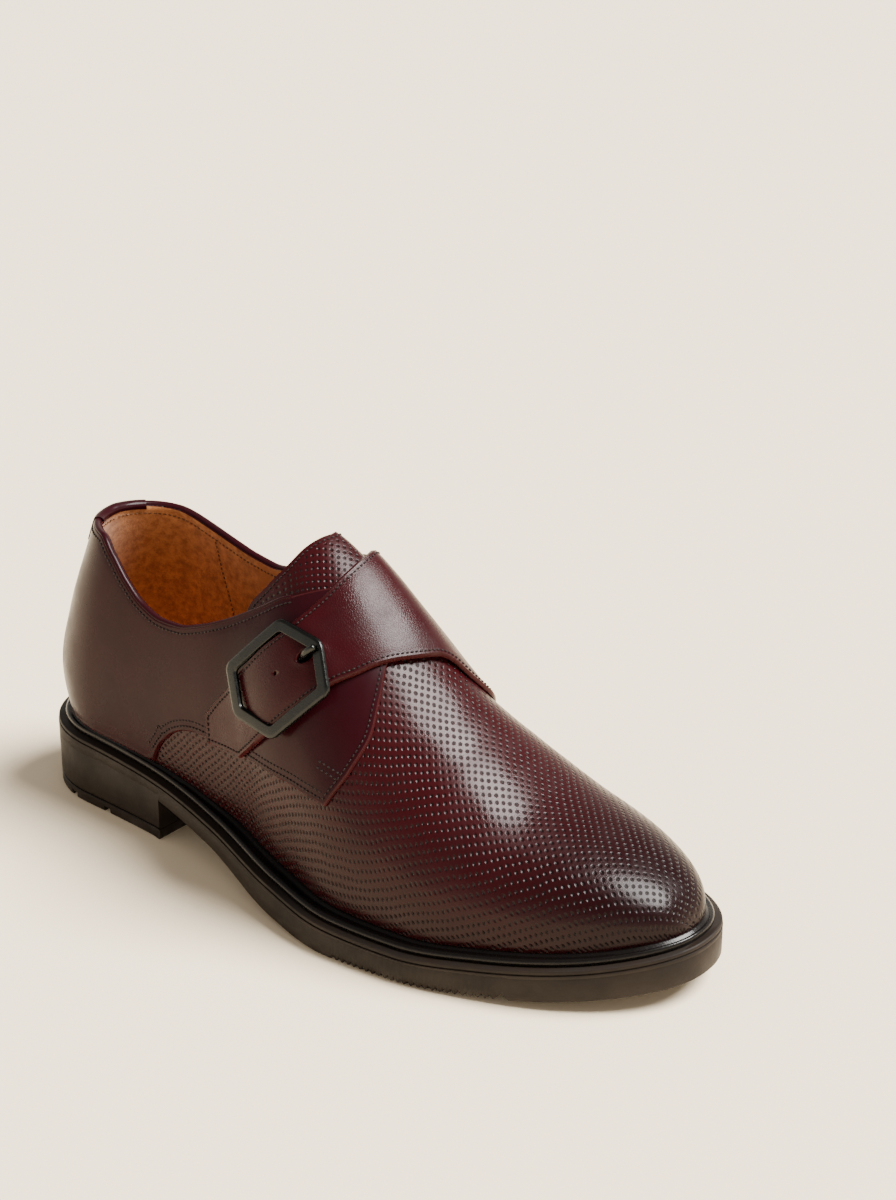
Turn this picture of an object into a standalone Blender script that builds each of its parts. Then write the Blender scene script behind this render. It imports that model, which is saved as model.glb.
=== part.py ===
# Monk strap shoe, right foot
# X runs from the heel to the toe, -Y is the lateral side with the buckle, +Z is up. Units are metres.

import math

import bmesh
import bpy
import numpy as np
from mathutils import Matrix, Vector
from mathutils.geometry import delaunay_2d_cdt

# Driving sizes of the sole
soleLength = 0.300
ballWidth = 0.1045
heelSeat = 0.0286  # top of the sole at the heel, above the floor
foreThickness = 0.011
toeSpring = 0.0089
heelRound = 0.0345  # length of the round end of the heel
toeRound = 0.078
toeSwing = 0.0035  # the toe's tip leans this far to the medial side
swingShare = 0.6  # share of the length at which that lean starts
springShare = 0.69  # share of the length at which the tread starts to rise to the toe
archEnd = 0.60 * soleLength
heelPower = 2.15  # powers of the round ends: 2 is an ellipse, and higher is squarer
toePower = 2.25
heelBreast = 0.0775  # from the heel's back to the front face of the heel
archRise = 0.0164
liftHeight = 0.0042
bottomChamfer = 0.0010
sideStep = 0.0007  # the side's upper band stands back by this
bandHeight = 0.0032

# Driving sizes of the last
lastHeight = 0.1145  # crown of the instep above the sole
counterHeight = 0.077
ledge = 0.0065  # the sole's margin outside the upper
heelLedge = 0.0055
toeLedge = 0.0060
cheek = 0.020  # height of the widest level above the sole, at the heel
tuck = 0.0035  # the foot of the upper stands in from its widest level
crownShift = 0.0035
toeDrop = 0.0526  # length over which the crown falls to the toe
toeFullness = 3.0  # power of that fall: higher is a blunter toe
toeBlunt = 0.44  # power that rounds the fall's end
lastToePower = 2.2
backReach = 0.367 * soleLength  # length over which the back's curve fades out
widestGirth = 0.82  # girth of the last's widest level

# Leather
wall = 0.0018
quarterThickness = 0.0013
strapThickness = 0.0015
tabThickness = 0.0012
tongueThickness = 0.0016
insoleThickness = 0.0030
weltHeight = 0.0024
weltMargin = 0.0020  # from the welt's outer face to the sole's edge
weltBevel = 0.3 * weltHeight
backSeam = 0.004  # spacing at which both quarters stop beside the back seam

# Clearances
gap = 0.0003
layerGap = 0.00035
strapGap = 0.0006  # where the strap bends over the lateral quarter
climbStart = 0.17  # girth at which the strap starts to rise over the lateral quarter
climbSpan = 0.18

panelFoot = weltHeight + 0.0013  # lower edge of the quarters above the sole

# Buckle, with heights above the plane that touches the last at the buckle's centre
frameReach = 0.0257  # from the frame's centre to its farthest corner
frameWidth = 0.0046
frameThickness = 0.0021
frameLevel = 0.0032  # under side of the frame
frameBow = 0.0010  # the frame's far corners stand lower by this
frameRound = 0.0028
innerRounding = 0.35  # the corners' rounding shrinks by this share of the inset
leastRound = 0.0006
frameBevel = 0.0007
barRadius = 0.00075
prongRadius = 0.00080
humpHeight = 0.0018  # the strap rises this much over the bar and the prong
humpFull = 0.0025  # half length of the part raised over the bar
humpEnd = 0.0085
ridgeFull = 0.0022  # half width of the part raised over the prong
ridgeEnd = 0.0065
ridgeFade = frameReach / 1.7  # length over which that part sinks to the frame's corner
humpGirth = -0.2  # the raised parts lie on the buckle's side of this girth
strapDegrees = 45  # way of the strap in the frame's plane, up from the toe's direction
holeAlong = 0.0145  # from the bar to the prong's hole
prongSkew = 0.05  # the prong leans this much across the strap
holeLength = 0.0058
holeWidth = 0.0030
spareHole = 0.0016

# Tread
groovePitch = 0.0026
grooveDepth = 0.0011
grooveCount = 22
bigGrooveWidth = 0.0050
bigGrooveDepth = 0.0022
heelNotch = 0.0036
heelNotchPlaces = (0.026, 0.046)  # from the heel's back
grooveShare = 0.9  # width of a small groove as a share of its pitch
notchDepth = 0.0018

# Meshing
columns = 38
rows = 30
soleColumns = 36
edgeStep = 0.0075
buckleStep = 0.0031  # between the strap's points near the buckle
edgeClear = 0.42 * edgeStep  # least way from an outline to the grid's points
buckleClear = 0.3 * buckleStep
rowClear = 0.4  # least way from a run's end to the grid's lines, in their own steps

# Plan of the sole: share of its length, lateral and medial half widths as shares of the ball width
SOLE_PLAN = (
    (0.00, 0.316, 0.316),
    (0.13, 0.330, 0.330),
    (0.23, 0.349, 0.321),
    (0.36, 0.407, 0.287),
    (0.50, 0.531, 0.301),
    (0.60, 0.579, 0.368),
    (0.70, 0.560, 0.440),
    (0.80, 0.493, 0.464),
    (0.90, 0.431, 0.435),
    (1.00, 0.364, 0.378),
)

# Top of the sole: share of length, then shares of the heel seat, the forefoot thickness and the toe spring
SOLE_TOP = (
    (0.00, 1.00, 0.00, 0.00),
    (0.10, 0.97, 0.00, 0.00),
    (0.22, 0.90, 0.00, 0.00),
    (0.35, 0.72, 0.00, 0.00),
    (0.48, 0.31, 0.63, 0.00),
    (0.60, 0.03, 1.00, 0.00),
    (0.70, 0.00, 1.02, 0.00),
    (0.80, 0.00, 1.00, 0.25),
    (0.90, 0.00, 1.00, 0.62),
    (1.00, 0.00, 1.00, 1.25),
)

# Sections of the last: share of the sole's length, lateral and medial margin as shares of the ledge,
# widest level (of cheek), foot's tuck (of tuck), crown height (of lastHeight), crown's place (crownShift),
# and the two powers that set how full the side and the top are
LAST = (
    (0.00, 0.69, 0.69, 1.000, 0.71, 0.938, 0.00, 0.90, 1.00),
    (0.13, 0.62, 0.69, 0.950, 0.71, 0.956, 0.00, 0.92, 1.00),
    (0.23, 0.77, 0.69, 0.900, 0.71, 0.963, 0.14, 0.95, 1.00),
    (0.33, 1.00, 0.62, 0.850, 0.86, 0.983, 0.43, 1.00, 0.98),
    (0.43, 1.31, 0.54, 0.750, 1.00, 1.000, 0.86, 1.03, 0.95),
    (0.50, 1.31, 0.62, 0.675, 1.00, 0.928, 1.00, 0.98, 0.95),
    (0.57, 1.23, 0.77, 0.625, 1.00, 0.797, 0.86, 0.97, 0.95),
    (0.64, 1.15, 0.92, 0.600, 0.86, 0.628, 0.57, 0.99, 0.95),
    (0.72, 1.08, 1.00, 0.575, 0.86, 0.489, 0.29, 0.90, 0.96),
    (0.80, 1.05, 1.00, 0.550, 0.71, 0.355, 0.14, 0.86, 0.95),
    (0.88, 1.00, 1.00, 0.500, 0.57, 0.282, 0.14, 0.84, 0.96),
    (1.00, 1.00, 1.00, 0.450, 0.57, 0.195, 0.14, 0.78, 0.95),
)

# Curve of the heel's back: height and forward shift, shares of the counter's height
BACK_CURVE = (
    (0.00, 0.038),
    (0.28, -0.020),
    (0.60, 0.064),
    (1.00, 0.210),
    (1.50, 0.350),
)

# Top edge of the upper: share of length, lateral and medial girth.
# Girth is 0 on the crown line and 1 at the foot of the upper; the lateral side is negative.
COLLAR = (
    (0.087, 0.405, 0.425),
    (0.126, 0.446, 0.445),
    (0.168, 0.501, 0.465),
    (0.208, 0.540, 0.482),
    (0.242, 0.553, 0.493),
    (0.280, 0.546, 0.496),
    (0.313, 0.523, 0.482),
    (0.350, 0.485, 0.450),
    (0.388, 0.437, 0.410),
    (0.424, 0.381, 0.360),
    (0.455, 0.316, 0.300),
    (0.490, 0.206, 0.195),
    (0.518, 0.090, 0.090),
)
collarBack = 0.398
medialCollarRows = 8  # of the table above, before the strap's back edge takes over
throatShare = 0.530

# Outlines of the pieces over the upper, as runs of (share of length, girth) with a corner between runs
LATERAL_QUARTER = (
    ((0.552, -0.070), (0.573, -0.120), (0.584, -0.187), (0.598, -0.281), (0.608, -0.388), (0.601, -0.504),
     (0.580, -0.636)),
    ((0.580, -0.636), (0.530, -0.668), (0.466, -0.705), (0.390, -0.738), (0.324, -0.758),
     (0.295, -0.778), (0.266, -0.819), (0.245, -0.900)),
)
lateralFoot = 0.235  # share of the length at which the lateral quarter's edge reaches its foot
medialFoot = 0.318
MEDIAL_FRONT = (
    ((0.324, 0.880), (0.344, 0.760), (0.368, 0.712), (0.417, 0.693), (0.482, 0.696),
     (0.531, 0.690), (0.575, 0.672)),
    ((0.575, 0.672), (0.612, 0.529), (0.635, 0.400), (0.641, 0.298), (0.634, 0.190), (0.616, 0.081),
     (0.598, -0.086), (0.581, -0.201), (0.560, -0.325), (0.539, -0.401), (0.517, -0.464), (0.505, -0.499),
     (0.493, -0.533), (0.489, -0.575), (0.480, -0.636), (0.447, -0.713)),
    ((0.447, -0.713), (0.358, -0.742)),
    ((0.358, -0.742), (0.348, -0.688)),
    ((0.348, -0.688), (0.401, -0.600), (0.421, -0.561), (0.452, -0.481), (0.474, -0.390), (0.487, -0.285),
     (0.494, -0.213), (0.497, -0.103), (0.488, 0.100), (0.474, 0.225)),
)
TONGUE = (
    ((0.378, -0.540), (0.381, -0.425), (0.402, -0.338), (0.422, -0.242), (0.431, -0.166), (0.441, -0.073),
     (0.446, 0.000), (0.441, 0.089), (0.432, 0.172), (0.422, 0.243), (0.405, 0.335), (0.387, 0.430),
     (0.385, 0.540)),
    ((0.385, 0.540), (0.450, 0.520), (0.520, 0.430), (0.590, 0.280), (0.610, 0.000), (0.590, -0.280),
     (0.520, -0.430), (0.450, -0.520), (0.378, -0.540)),
)
tabGirth = 0.485  # lower end of the heel tab
tabWidth = 0.085  # half width of the heel tab, in the last's own spacing
tabRise = 0.05  # the tab's lower corners stand higher by this, in girth

# Buckle: place on the last, and corners of one half of the frame as (degrees, share of frameReach)
buckleShare = 0.4785
buckleGirth = -0.480
FRAME_CORNERS = (
    (103, 0.81),
    (47, 0.93),
    (4, 1.00),
)
# Prong: distance from the bar toward the instep, and height of its middle
PRONG_PATH = (
    (0.0016, 0.00290),
    (0.0060, 0.00250),
    (0.0095, 0.00180),
    (0.0119, 0.00140),
    (0.0141, 0.00300),
    (0.0160, 0.00480),
    (0.0176, 0.00590),
    (0.0214, 0.00580),
)

# Colours as (name, red, green, blue, metallic, roughness)
FINISHES = {
    "burgundy": (0.120, 0.018, 0.022, 0.0, 0.32),
    "burgundy_dark": (0.085, 0.014, 0.016, 0.0, 0.36),
    "tan": (0.420, 0.170, 0.055, 0.0, 0.60),
    "rubber": (0.038, 0.027, 0.020, 0.0, 0.65),
    "welt": (0.016, 0.010, 0.009, 0.0, 0.35),
    "gunmetal": (0.210, 0.200, 0.180, 1.0, 0.34),
}


# Curves through tables

def slopes(knots, values):
    step = np.diff(knots)
    rise = np.diff(values) / step
    before, after = rise[:-1], rise[1:]
    near, far = 2 * step[1:] + step[:-1], step[1:] + 2 * step[:-1]
    turning = before * after <= 0
    safeBefore = np.where(turning, 1.0, before)
    safeAfter = np.where(turning, 1.0, after)
    inner = np.where(turning, 0.0, (near + far) / (near / safeBefore + far / safeAfter))
    return np.concatenate(([rise[0]], inner, [rise[-1]]))


def smooth(knots, values, places):
    # a curve through the values that never overshoots them
    knots, values = np.asarray(knots, float), np.asarray(values, float)
    places = np.clip(places, knots[0], knots[-1])
    tangent = slopes(knots, values)
    cell = np.clip(np.searchsorted(knots, places, side="right") - 1, 0, len(knots) - 2)
    width = knots[cell + 1] - knots[cell]
    part = (places - knots[cell]) / width
    start = (1 + 2 * part) * (1 - part) ** 2 * values[cell]
    startTangent = part * (1 - part) ** 2 * width * tangent[cell]
    end = part ** 2 * (3 - 2 * part) * values[cell + 1]
    endTangent = part ** 2 * (part - 1) * width * tangent[cell + 1]
    return start + startTangent + end + endTangent


def column(table, index, places):
    return smooth([row[0] for row in table], [row[index] for row in table], places)


def ease(value):
    value = np.clip(value, 0.0, 1.0)
    return value * value * (3 - 2 * value)


def roundEnd(distance, reach, power):
    # 0 at the very end, 1 from reach onward
    inside = np.clip((reach - distance) / reach, 0.0, 1.0)
    return np.clip(1 - inside ** power, 0.0, 1.0) ** (1 / power)


# Sole

def swing(x):
    return toeSwing * np.clip((x / soleLength - swingShare) / (1 - swingShare), 0.0, 1.0) ** 2


def soleWidths(x):
    share = x / soleLength
    return ballWidth * column(SOLE_PLAN, 1, share), ballWidth * column(SOLE_PLAN, 2, share)


def soleTop(x):
    share = x / soleLength
    heel, fore, spring = (column(SOLE_TOP, index, share) for index in (1, 2, 3))
    return heelSeat * heel + foreThickness * fore + toeSpring * spring


def soleBottom(x):
    return toeSpring * np.clip((x / soleLength - springShare) / (1 - springShare), 0.0, 1.0) ** 2


def archHeight(x):
    part = np.clip((x - heelBreast) / (archEnd - heelBreast), 0.0, 1.0)
    return archRise * (1 - part) ** 2 * (1 + part)


def stations(count, low, high):
    return low + (high - low) * (1 - np.cos(np.linspace(0, math.pi, count + 1))) / 2


def plan(x, lateral, medial, heelEnd, toeEnd, heelReach, toeReach):
    # a closed outline from the heel along the lateral side to the toe and back along the medial side
    ends = roundEnd(x - heelEnd, heelReach, heelPower) * roundEnd(toeEnd - x, toeReach, toePower)
    left = np.stack([x, -lateral * ends + swing(x)], axis=1)
    right = np.stack([x, medial * ends + swing(x)], axis=1)
    return np.vstack([left, right[-2:0:-1]])


def solePlan():
    x = stations(soleColumns, 0.0, soleLength)
    lateral, medial = soleWidths(x)
    return plan(x, lateral, medial, 0.0, soleLength, heelRound, toeRound)


def inset(outline, distance):
    # moves each point of a closed outline inward
    ahead, behind = np.roll(outline, -1, axis=0), np.roll(outline, 1, axis=0)
    along = ahead - behind
    along /= np.linalg.norm(along, axis=1)[:, None]
    inward = np.stack([-along[:, 1], along[:, 0]], axis=1)
    return outline + distance * inward


# Last

lastHeel = heelLedge
lastToe = soleLength - toeLedge
lastHeelRound = heelRound - 0.0015
lastToeRound = toeRound - 0.004


def lastX(spacing):
    return lastHeel + (lastToe - lastHeel) * (1 - np.cos(math.pi * spacing)) / 2


def spacingOf(share):
    part = (np.asarray(share) * soleLength - lastHeel) / (lastToe - lastHeel)
    return np.arccos(np.clip(1 - 2 * part, -1.0, 1.0)) / math.pi


def lastPoint(spacing, girth):
    # a point of the last, from its place along the shoe and round it
    spacing, girth = np.broadcast_arrays(np.asarray(spacing, float), np.asarray(girth, float))
    x = lastX(spacing)
    share = x / soleLength
    lateralLedge, medialLedge, level, tucked, crown, shift, side, top = (
        column(LAST, index, share) for index in range(1, 9))
    lateral, medial = soleWidths(x)
    heelEnd = roundEnd(x - lastHeel, lastHeelRound, heelPower)
    ends = heelEnd * roundEnd(lastToe - x, lastToeRound, lastToePower)
    lateral = (lateral - ledge * lateralLedge) * ends
    medial = (medial - ledge * medialLedge) * ends
    base = soleTop(x)
    fall = np.clip((x - (lastToe - toeDrop)) / toeDrop, 0.0, 1.0)
    drop = np.clip(1 - fall ** toeFullness, 0.0, 1.0) ** toeBlunt
    crown = lastHeight * crown * drop
    level = cheek * level * drop ** 0.5
    nearEnds = np.clip((x - lastHeel) / cheek, 0, 1) ** 0.5 * np.clip((lastToe - x) / cheek, 0, 1) ** 0.5
    tucked = tuck * tucked * nearEnds
    shift = crownShift * shift * np.clip((x - lastHeel) / (2 * cheek), 0.0, 1.0) * drop
    size = np.abs(girth)
    turn = (1 - np.clip(size / widestGirth, 0.0, 1.0)) * math.pi / 2
    low = np.clip((1 - size) / (1 - widestGirth), 0.0, 1.0)
    reach = np.where(girth < 0, lateral + shift, medial - shift)
    upperPart = size <= widestGirth
    out = np.where(upperPart, reach * np.clip(np.cos(turn), 0, 1) ** side, reach - tucked * (1 - low) ** 2)
    up = np.where(upperPart, level + (crown - level) * np.clip(np.sin(turn), 0, 1) ** top, level * low)
    y = shift + np.sign(girth) * out + swing(x)
    fade = np.clip(1 - (x - lastHeel) / backReach, 0.0, 1.0) ** 2
    heights = counterHeight * np.array([row[0] for row in BACK_CURVE])
    lean = smooth(heights, counterHeight * np.array([row[1] for row in BACK_CURVE]), up)
    return np.stack([x + fade * lean, y, base + up + gap], axis=-1)


def lastNormal(spacing, girth):
    small = 0.002
    ahead = np.clip(spacing + small, 0.0015, 0.9985)
    behind = np.clip(spacing - small, 0.0005, 0.9975)
    along = lastPoint(ahead, girth) - lastPoint(behind, girth)
    side = np.where(np.asarray(girth) < 0, -1.0, 1.0)
    size = np.abs(girth)
    # one-sided at the foot and across the crown, so that each side keeps its own slope
    high = side * np.clip(size + small, 0.0, 1.0)
    lowSide = side * np.clip(size - small, 0.0, 1.0)
    crownPart = size < small
    high = np.where(crownPart, small, high)
    lowSide = np.where(crownPart, -small, lowSide)
    middle = np.clip(spacing, 0.001, 0.998)
    around = lastPoint(middle, high) - lastPoint(middle, lowSide)
    normal = np.cross(along, around * np.where(crownPart, 1.0, side)[..., None])
    return normal / np.linalg.norm(normal, axis=-1)[..., None]


# Meshes

def makeObject(name, mesh, finish, group):
    piece = bpy.data.objects.new(name, mesh)
    group.objects.link(piece)
    if finish:
        mesh.materials.append(makeMaterial(name, finish))
    return piece


def makeMaterial(name, finish):
    red, green, blue, metallic, roughness = FINISHES[finish]
    material = bpy.data.materials.new(name + "_" + finish)
    material.use_nodes = True
    shader = material.node_tree.nodes["Principled BSDF"]
    shader.inputs["Base Color"].default_value = (red, green, blue, 1.0)
    shader.inputs["Metallic"].default_value = metallic
    shader.inputs["Roughness"].default_value = roughness
    return material


def meshFrom(name, points, faces, sharp=35):
    mesh = bpy.data.meshes.new(name)
    mesh.from_pydata([tuple(point) for point in points], [], faces)
    work = bmesh.new()
    work.from_mesh(mesh)
    bmesh.ops.remove_doubles(work, verts=work.verts, dist=0.00001)
    bmesh.ops.dissolve_degenerate(work, dist=0.00001, edges=work.edges)
    bmesh.ops.triangulate(work, faces=[face for face in work.faces if len(face.verts) > 3])
    work.to_mesh(mesh)
    work.free()
    mesh.shade_smooth()
    mesh.set_sharp_from_angle(angle=math.radians(sharp))
    return mesh


def stack(name, rings):
    # a closed solid from rings of equal count, lowest first, each from the heel round by the lateral side
    count = len(rings[0])
    half = count // 2
    faces = []
    for level in range(len(rings) - 1):
        for index in range(count):
            after = (index + 1) % count
            low, high = level * count, (level + 1) * count
            faces.append((low + index, low + after, high + after, high + index))
    top = (len(rings) - 1) * count
    for index in range(half):
        corners = (index, index + 1, (count - index - 1) % count, (count - index) % count)
        near = tuple(dict.fromkeys(corners))
        faces.append(tuple(reversed(near)))
        faces.append(tuple(top + corner for corner in near))
    return meshFrom(name, np.vstack(rings), faces)


def loop(name, sections):
    # a closed band from sections of equal count that follow each other round a ring
    count, size = len(sections), len(sections[0])
    faces = []
    for index in range(count):
        after = (index + 1) % count
        for corner in range(size):
            turn = (corner + 1) % size
            faces.append((index * size + corner, after * size + corner, after * size + turn,
                          index * size + turn))
    return meshFrom(name, np.vstack(sections), faces)


def addSolidify(piece, thickness, side):
    modifier = piece.modifiers.new("thickness", "SOLIDIFY")
    modifier.thickness = thickness
    modifier.offset = side


def cutWith(piece, cutter):
    modifier = piece.modifiers.new("cut", "BOOLEAN")
    modifier.operation = "DIFFERENCE"
    modifier.object = cutter
    cutter.hide_render = True
    cutter.display_type = "WIRE"


# Flat patterns laid on the last

girthScale = 0.45 * soleLength


def toFlat(spacing, girth):
    return np.stack([np.asarray(spacing) * soleLength, np.asarray(girth) * girthScale], axis=-1)


def softRun(points, step):
    # a smooth run through (spacing, girth) points, without its last point
    flat = toFlat([point[0] for point in points], [point[1] for point in points])
    lengths = np.concatenate(([0.0], np.cumsum(np.linalg.norm(np.diff(flat, axis=0), axis=1))))
    pieces = max(1, round(lengths[-1] / step))
    places = np.linspace(0.0, lengths[-1], pieces + 1)[:-1]
    return np.stack([smooth(lengths, flat[:, 0], places), smooth(lengths, flat[:, 1], places)], axis=1)


def bySpacing(run):
    return [(float(spacingOf(share)), girth) for share, girth in run]


def isInside(points, outline):
    inside = np.zeros(len(points), bool)
    behind = np.roll(outline, 1, axis=0)
    for (ax, ay), (bx, by) in zip(outline, behind):
        crosses = (ay > points[:, 1]) != (by > points[:, 1])
        rise = by - ay if by != ay else 1.0
        inside ^= crosses & (points[:, 0] < (bx - ax) * (points[:, 1] - ay) / rise + ax)
    return inside


def edgeDistance(points, outline):
    ahead = np.roll(outline, -1, axis=0) - outline
    length = np.maximum((ahead ** 2).sum(axis=1), 1e-12)
    part = ((points[:, None] - outline) * ahead).sum(axis=2) / length
    nearest = outline + np.clip(part, 0.0, 1.0)[..., None] * ahead
    return np.linalg.norm(points[:, None] - nearest, axis=2).min(axis=1)


def flatPattern(runs, extra=None):
    # extra points replace the grid's own near them
    outline = np.vstack([softRun(run, edgeStep) for run in runs])
    spacings = np.linspace(0.0, 1.0, columns + 1)
    girths = np.linspace(-1.0, 1.0, rows + 1)
    grid = toFlat(*(part.ravel() for part in np.meshgrid(spacings, girths)))
    if extra is not None:
        apart = np.linalg.norm(grid[:, None] - extra, axis=2).min(axis=1)
        grid = grid[apart > edgeStep / 2]
    keep = isInside(grid, outline)
    keep &= edgeDistance(grid, outline) > edgeClear
    points = np.vstack([outline, grid[keep]])
    if extra is not None:
        near = isInside(extra, outline)
        near &= edgeDistance(extra, outline) > buckleClear
        points = np.vstack([points, extra[near]])
    result = delaunay_2d_cdt([Vector(point) for point in points], [], [list(range(len(outline)))], 1, 1e-7)
    flat = np.array([tuple(point) for point in result[0]])
    return flat[:, 0] / soleLength, flat[:, 1] / girthScale, [tuple(face) for face in result[2]]


def layOnLast(name, runs, lift, extra=None):
    # lays a flat pattern on the last at a height that may vary over it
    spacing, girth, faces = flatPattern(runs, extra)
    points = lastPoint(spacing, girth) + lastNormal(spacing, girth) * lift(spacing, girth)[:, None]
    return meshFrom(name, points, faces, sharp=50)


def flatLift(height):
    return lambda spacing, girth: np.full(len(spacing), height)


def seamRun(spacing, start, end):
    # a run at one spacing that keeps the grid's own girths between its ends
    girths = np.linspace(-1.0, 1.0, rows + 1)
    low, high = min(start, end), max(start, end)
    inner = girths[(girths > low + rowClear / rows) & (girths < high - rowClear / rows)]
    inner = inner if end > start else inner[::-1]
    return [(spacing, girth) for girth in (start, *inner, end)]


def footRun(side, start, end, height=0.0):
    # a run along the foot of the upper that keeps the grid's own spacings between its ends
    spacings = np.linspace(0.0, 1.0, columns + 1)
    low, high = min(start, end), max(start, end)
    inner = spacings[(spacings > low + rowClear / columns) & (spacings < high - rowClear / columns)]
    inner = inner if end > start else inner[::-1]
    return [(spacing, side * girthAt(spacing, height)) for spacing in (start, *inner, end)]


def girthAt(spacing, height):
    # girth of the last's side at a height over the sole
    level = cheek * column(LAST, 3, lastX(spacing) / soleLength)
    return 1 - (1 - widestGirth) * np.clip(height / level, 0.0, 0.9)


def onFoot(share, side):
    # where a panel's edge runs down to its foot, just over the welt
    spacing = float(spacingOf(share))
    return spacing, side * float(girthAt(spacing, panelFoot))


def exactRuns(points):
    # each leg is a run of its own, so that its points stay where they are
    return [(points[index], points[index + 1]) for index in range(len(points) - 1)]


def collarRun(side, backSpacing, endRow=len(COLLAR)):
    # along the collar from the back to the throat, on one side
    index = 1 if side < 0 else 2
    points = [(backSpacing, side * collarBack)]
    points += [(float(spacingOf(row[0])), side * row[index]) for row in COLLAR[:endRow]]
    return points


# Buckle's own frame of reference

buckleSpacing = float(spacingOf(buckleShare))
buckleOrigin = lastPoint(buckleSpacing, buckleGirth)
buckleNormal = lastNormal(np.array([buckleSpacing]), np.array([buckleGirth]))[0]
forward = np.array([1.0, 0.0, 0.0]) - buckleNormal * buckleNormal[0]
forward /= np.linalg.norm(forward)
upward = np.cross(buckleNormal, forward)
upward *= np.sign(upward[2])
crownward = math.cos(math.radians(strapDegrees)) * forward + math.sin(math.radians(strapDegrees)) * upward
crosswise = math.sin(math.radians(strapDegrees)) * forward - math.cos(math.radians(strapDegrees)) * upward


def overBuckle(along, across, height):
    # points from distances along the strap, across it and above the plane at the buckle
    parts = (np.asarray(part, float) for part in (along, across, height))
    along, across, height = np.broadcast_arrays(*parts)
    return (buckleOrigin + along[..., None] * crownward + across[..., None] * crosswise
            + height[..., None] * buckleNormal)


def buckleLattice():
    # evenly spaced points round the buckle, in the flat pattern
    small = 0.002
    places = np.array([[buckleSpacing + small, buckleGirth], [buckleSpacing, buckleGirth + small]])
    moved = (lastPoint(places[:, 0], places[:, 1]) - buckleOrigin) / small
    turn = np.linalg.inv(moved @ np.stack([crownward, crosswise], axis=1))
    steps = np.arange(-round(frameReach / buckleStep), round(frameReach / buckleStep) + 1) * buckleStep
    along, across = (part.ravel() for part in np.meshgrid(steps, steps))
    spacing, girth = (np.stack([along, across], axis=1) @ turn).T
    return toFlat(buckleSpacing + spacing, buckleGirth + girth)


quarterTop = layerGap + quarterThickness
strapBase = quarterTop + strapGap
barLevel = quarterTop + gap + barRadius


def strapLift(spacing, girth):
    # on the last at the medial side, over the lateral quarter past the crown, and over the buckle's bar
    climb = ease((climbStart - girth) / climbSpan)
    point = lastPoint(spacing, girth) - buckleOrigin
    along = point @ crownward
    across = np.abs(point @ crosswise - prongSkew * along)
    overBar = ease((humpEnd - np.abs(along)) / (humpEnd - humpFull))
    overProng = ease((ridgeEnd - across) / (ridgeEnd - ridgeFull)) * ease((frameReach - along) / ridgeFade)
    hump = np.maximum(overBar, overProng * (along > 0)) * (girth < humpGirth)
    return layerGap + (strapBase - layerGap) * climb + humpHeight * hump


# Pieces

def soleRing(insetBy, height):
    # a ring of the sole's outline at a height that follows its length
    outline = inset(solePlan(), insetBy)
    return np.column_stack([outline, height(outline[:, 0])])


def makeOutsole(group, cutters):
    rings = [
        soleRing(bottomChamfer, soleBottom),
        soleRing(0.0, lambda x: soleBottom(x) + bottomChamfer),
        soleRing(0.0, lambda x: soleTop(x) - bandHeight - sideStep),
        soleRing(sideStep, lambda x: soleTop(x) - bandHeight),
        soleRing(sideStep, lambda x: soleTop(x) - sideStep),
        soleRing(2 * sideStep, soleTop),
    ]
    piece = makeObject("outsole", stack("outsole", rings), "rubber", group)
    cutWith(piece, makeSideCutter("arch_cutter", [archProfile()], cutters))
    cutWith(piece, makeSideCutter("tread_cutter", grooveProfiles(), cutters))
    return piece


def archProfile():
    # side view of what is cut away under the heel block and the arch
    x = np.linspace(heelBreast, archEnd, 14)
    under = -2 * archRise
    curve = [(place, float(archHeight(place))) for place in x]
    liftTop = liftHeight + gap
    return [(-ballWidth, under), (-ballWidth, liftTop), (heelBreast, liftTop)] + curve + [(archEnd, under)]


def grooveProfiles():
    # side views of the tread's grooves: a row of small ones, then one large one
    profiles = []
    first = archEnd + 2 * groovePitch
    for index in range(grooveCount):
        middle = first + index * groovePitch
        profiles.append(grooveProfile(middle, grooveShare * groovePitch, grooveDepth))
    last = first + grooveCount * groovePitch + bigGrooveWidth / 2
    profiles.append(grooveProfile(last, bigGrooveWidth, bigGrooveDepth))
    return profiles


def grooveProfile(middle, width, depth):
    floor = float(soleBottom(np.array(middle)))
    under = floor - depth
    flare = width  # twice the half width, because the profile starts one depth below the tread
    return [(middle - flare, under), (middle, floor + depth), (middle + flare, under)]


def makeSideCutter(name, profiles, cutters):
    # prisms that run across the shoe, from outlines in its side view
    work = bmesh.new()
    for outline in profiles:
        near = [work.verts.new((x, -ballWidth, z)) for x, z in outline]
        far = [work.verts.new((x, ballWidth, z)) for x, z in outline]
        work.faces.new(near)
        work.faces.new(list(reversed(far)))
        for index in range(len(outline)):
            after = (index + 1) % len(outline)
            work.faces.new((near[after], near[index], far[index], far[after]))
    bmesh.ops.recalc_face_normals(work, faces=work.faces)
    mesh = bpy.data.meshes.new(name)
    work.to_mesh(mesh)
    work.free()
    return makeObject(name, mesh, None, cutters)


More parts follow.
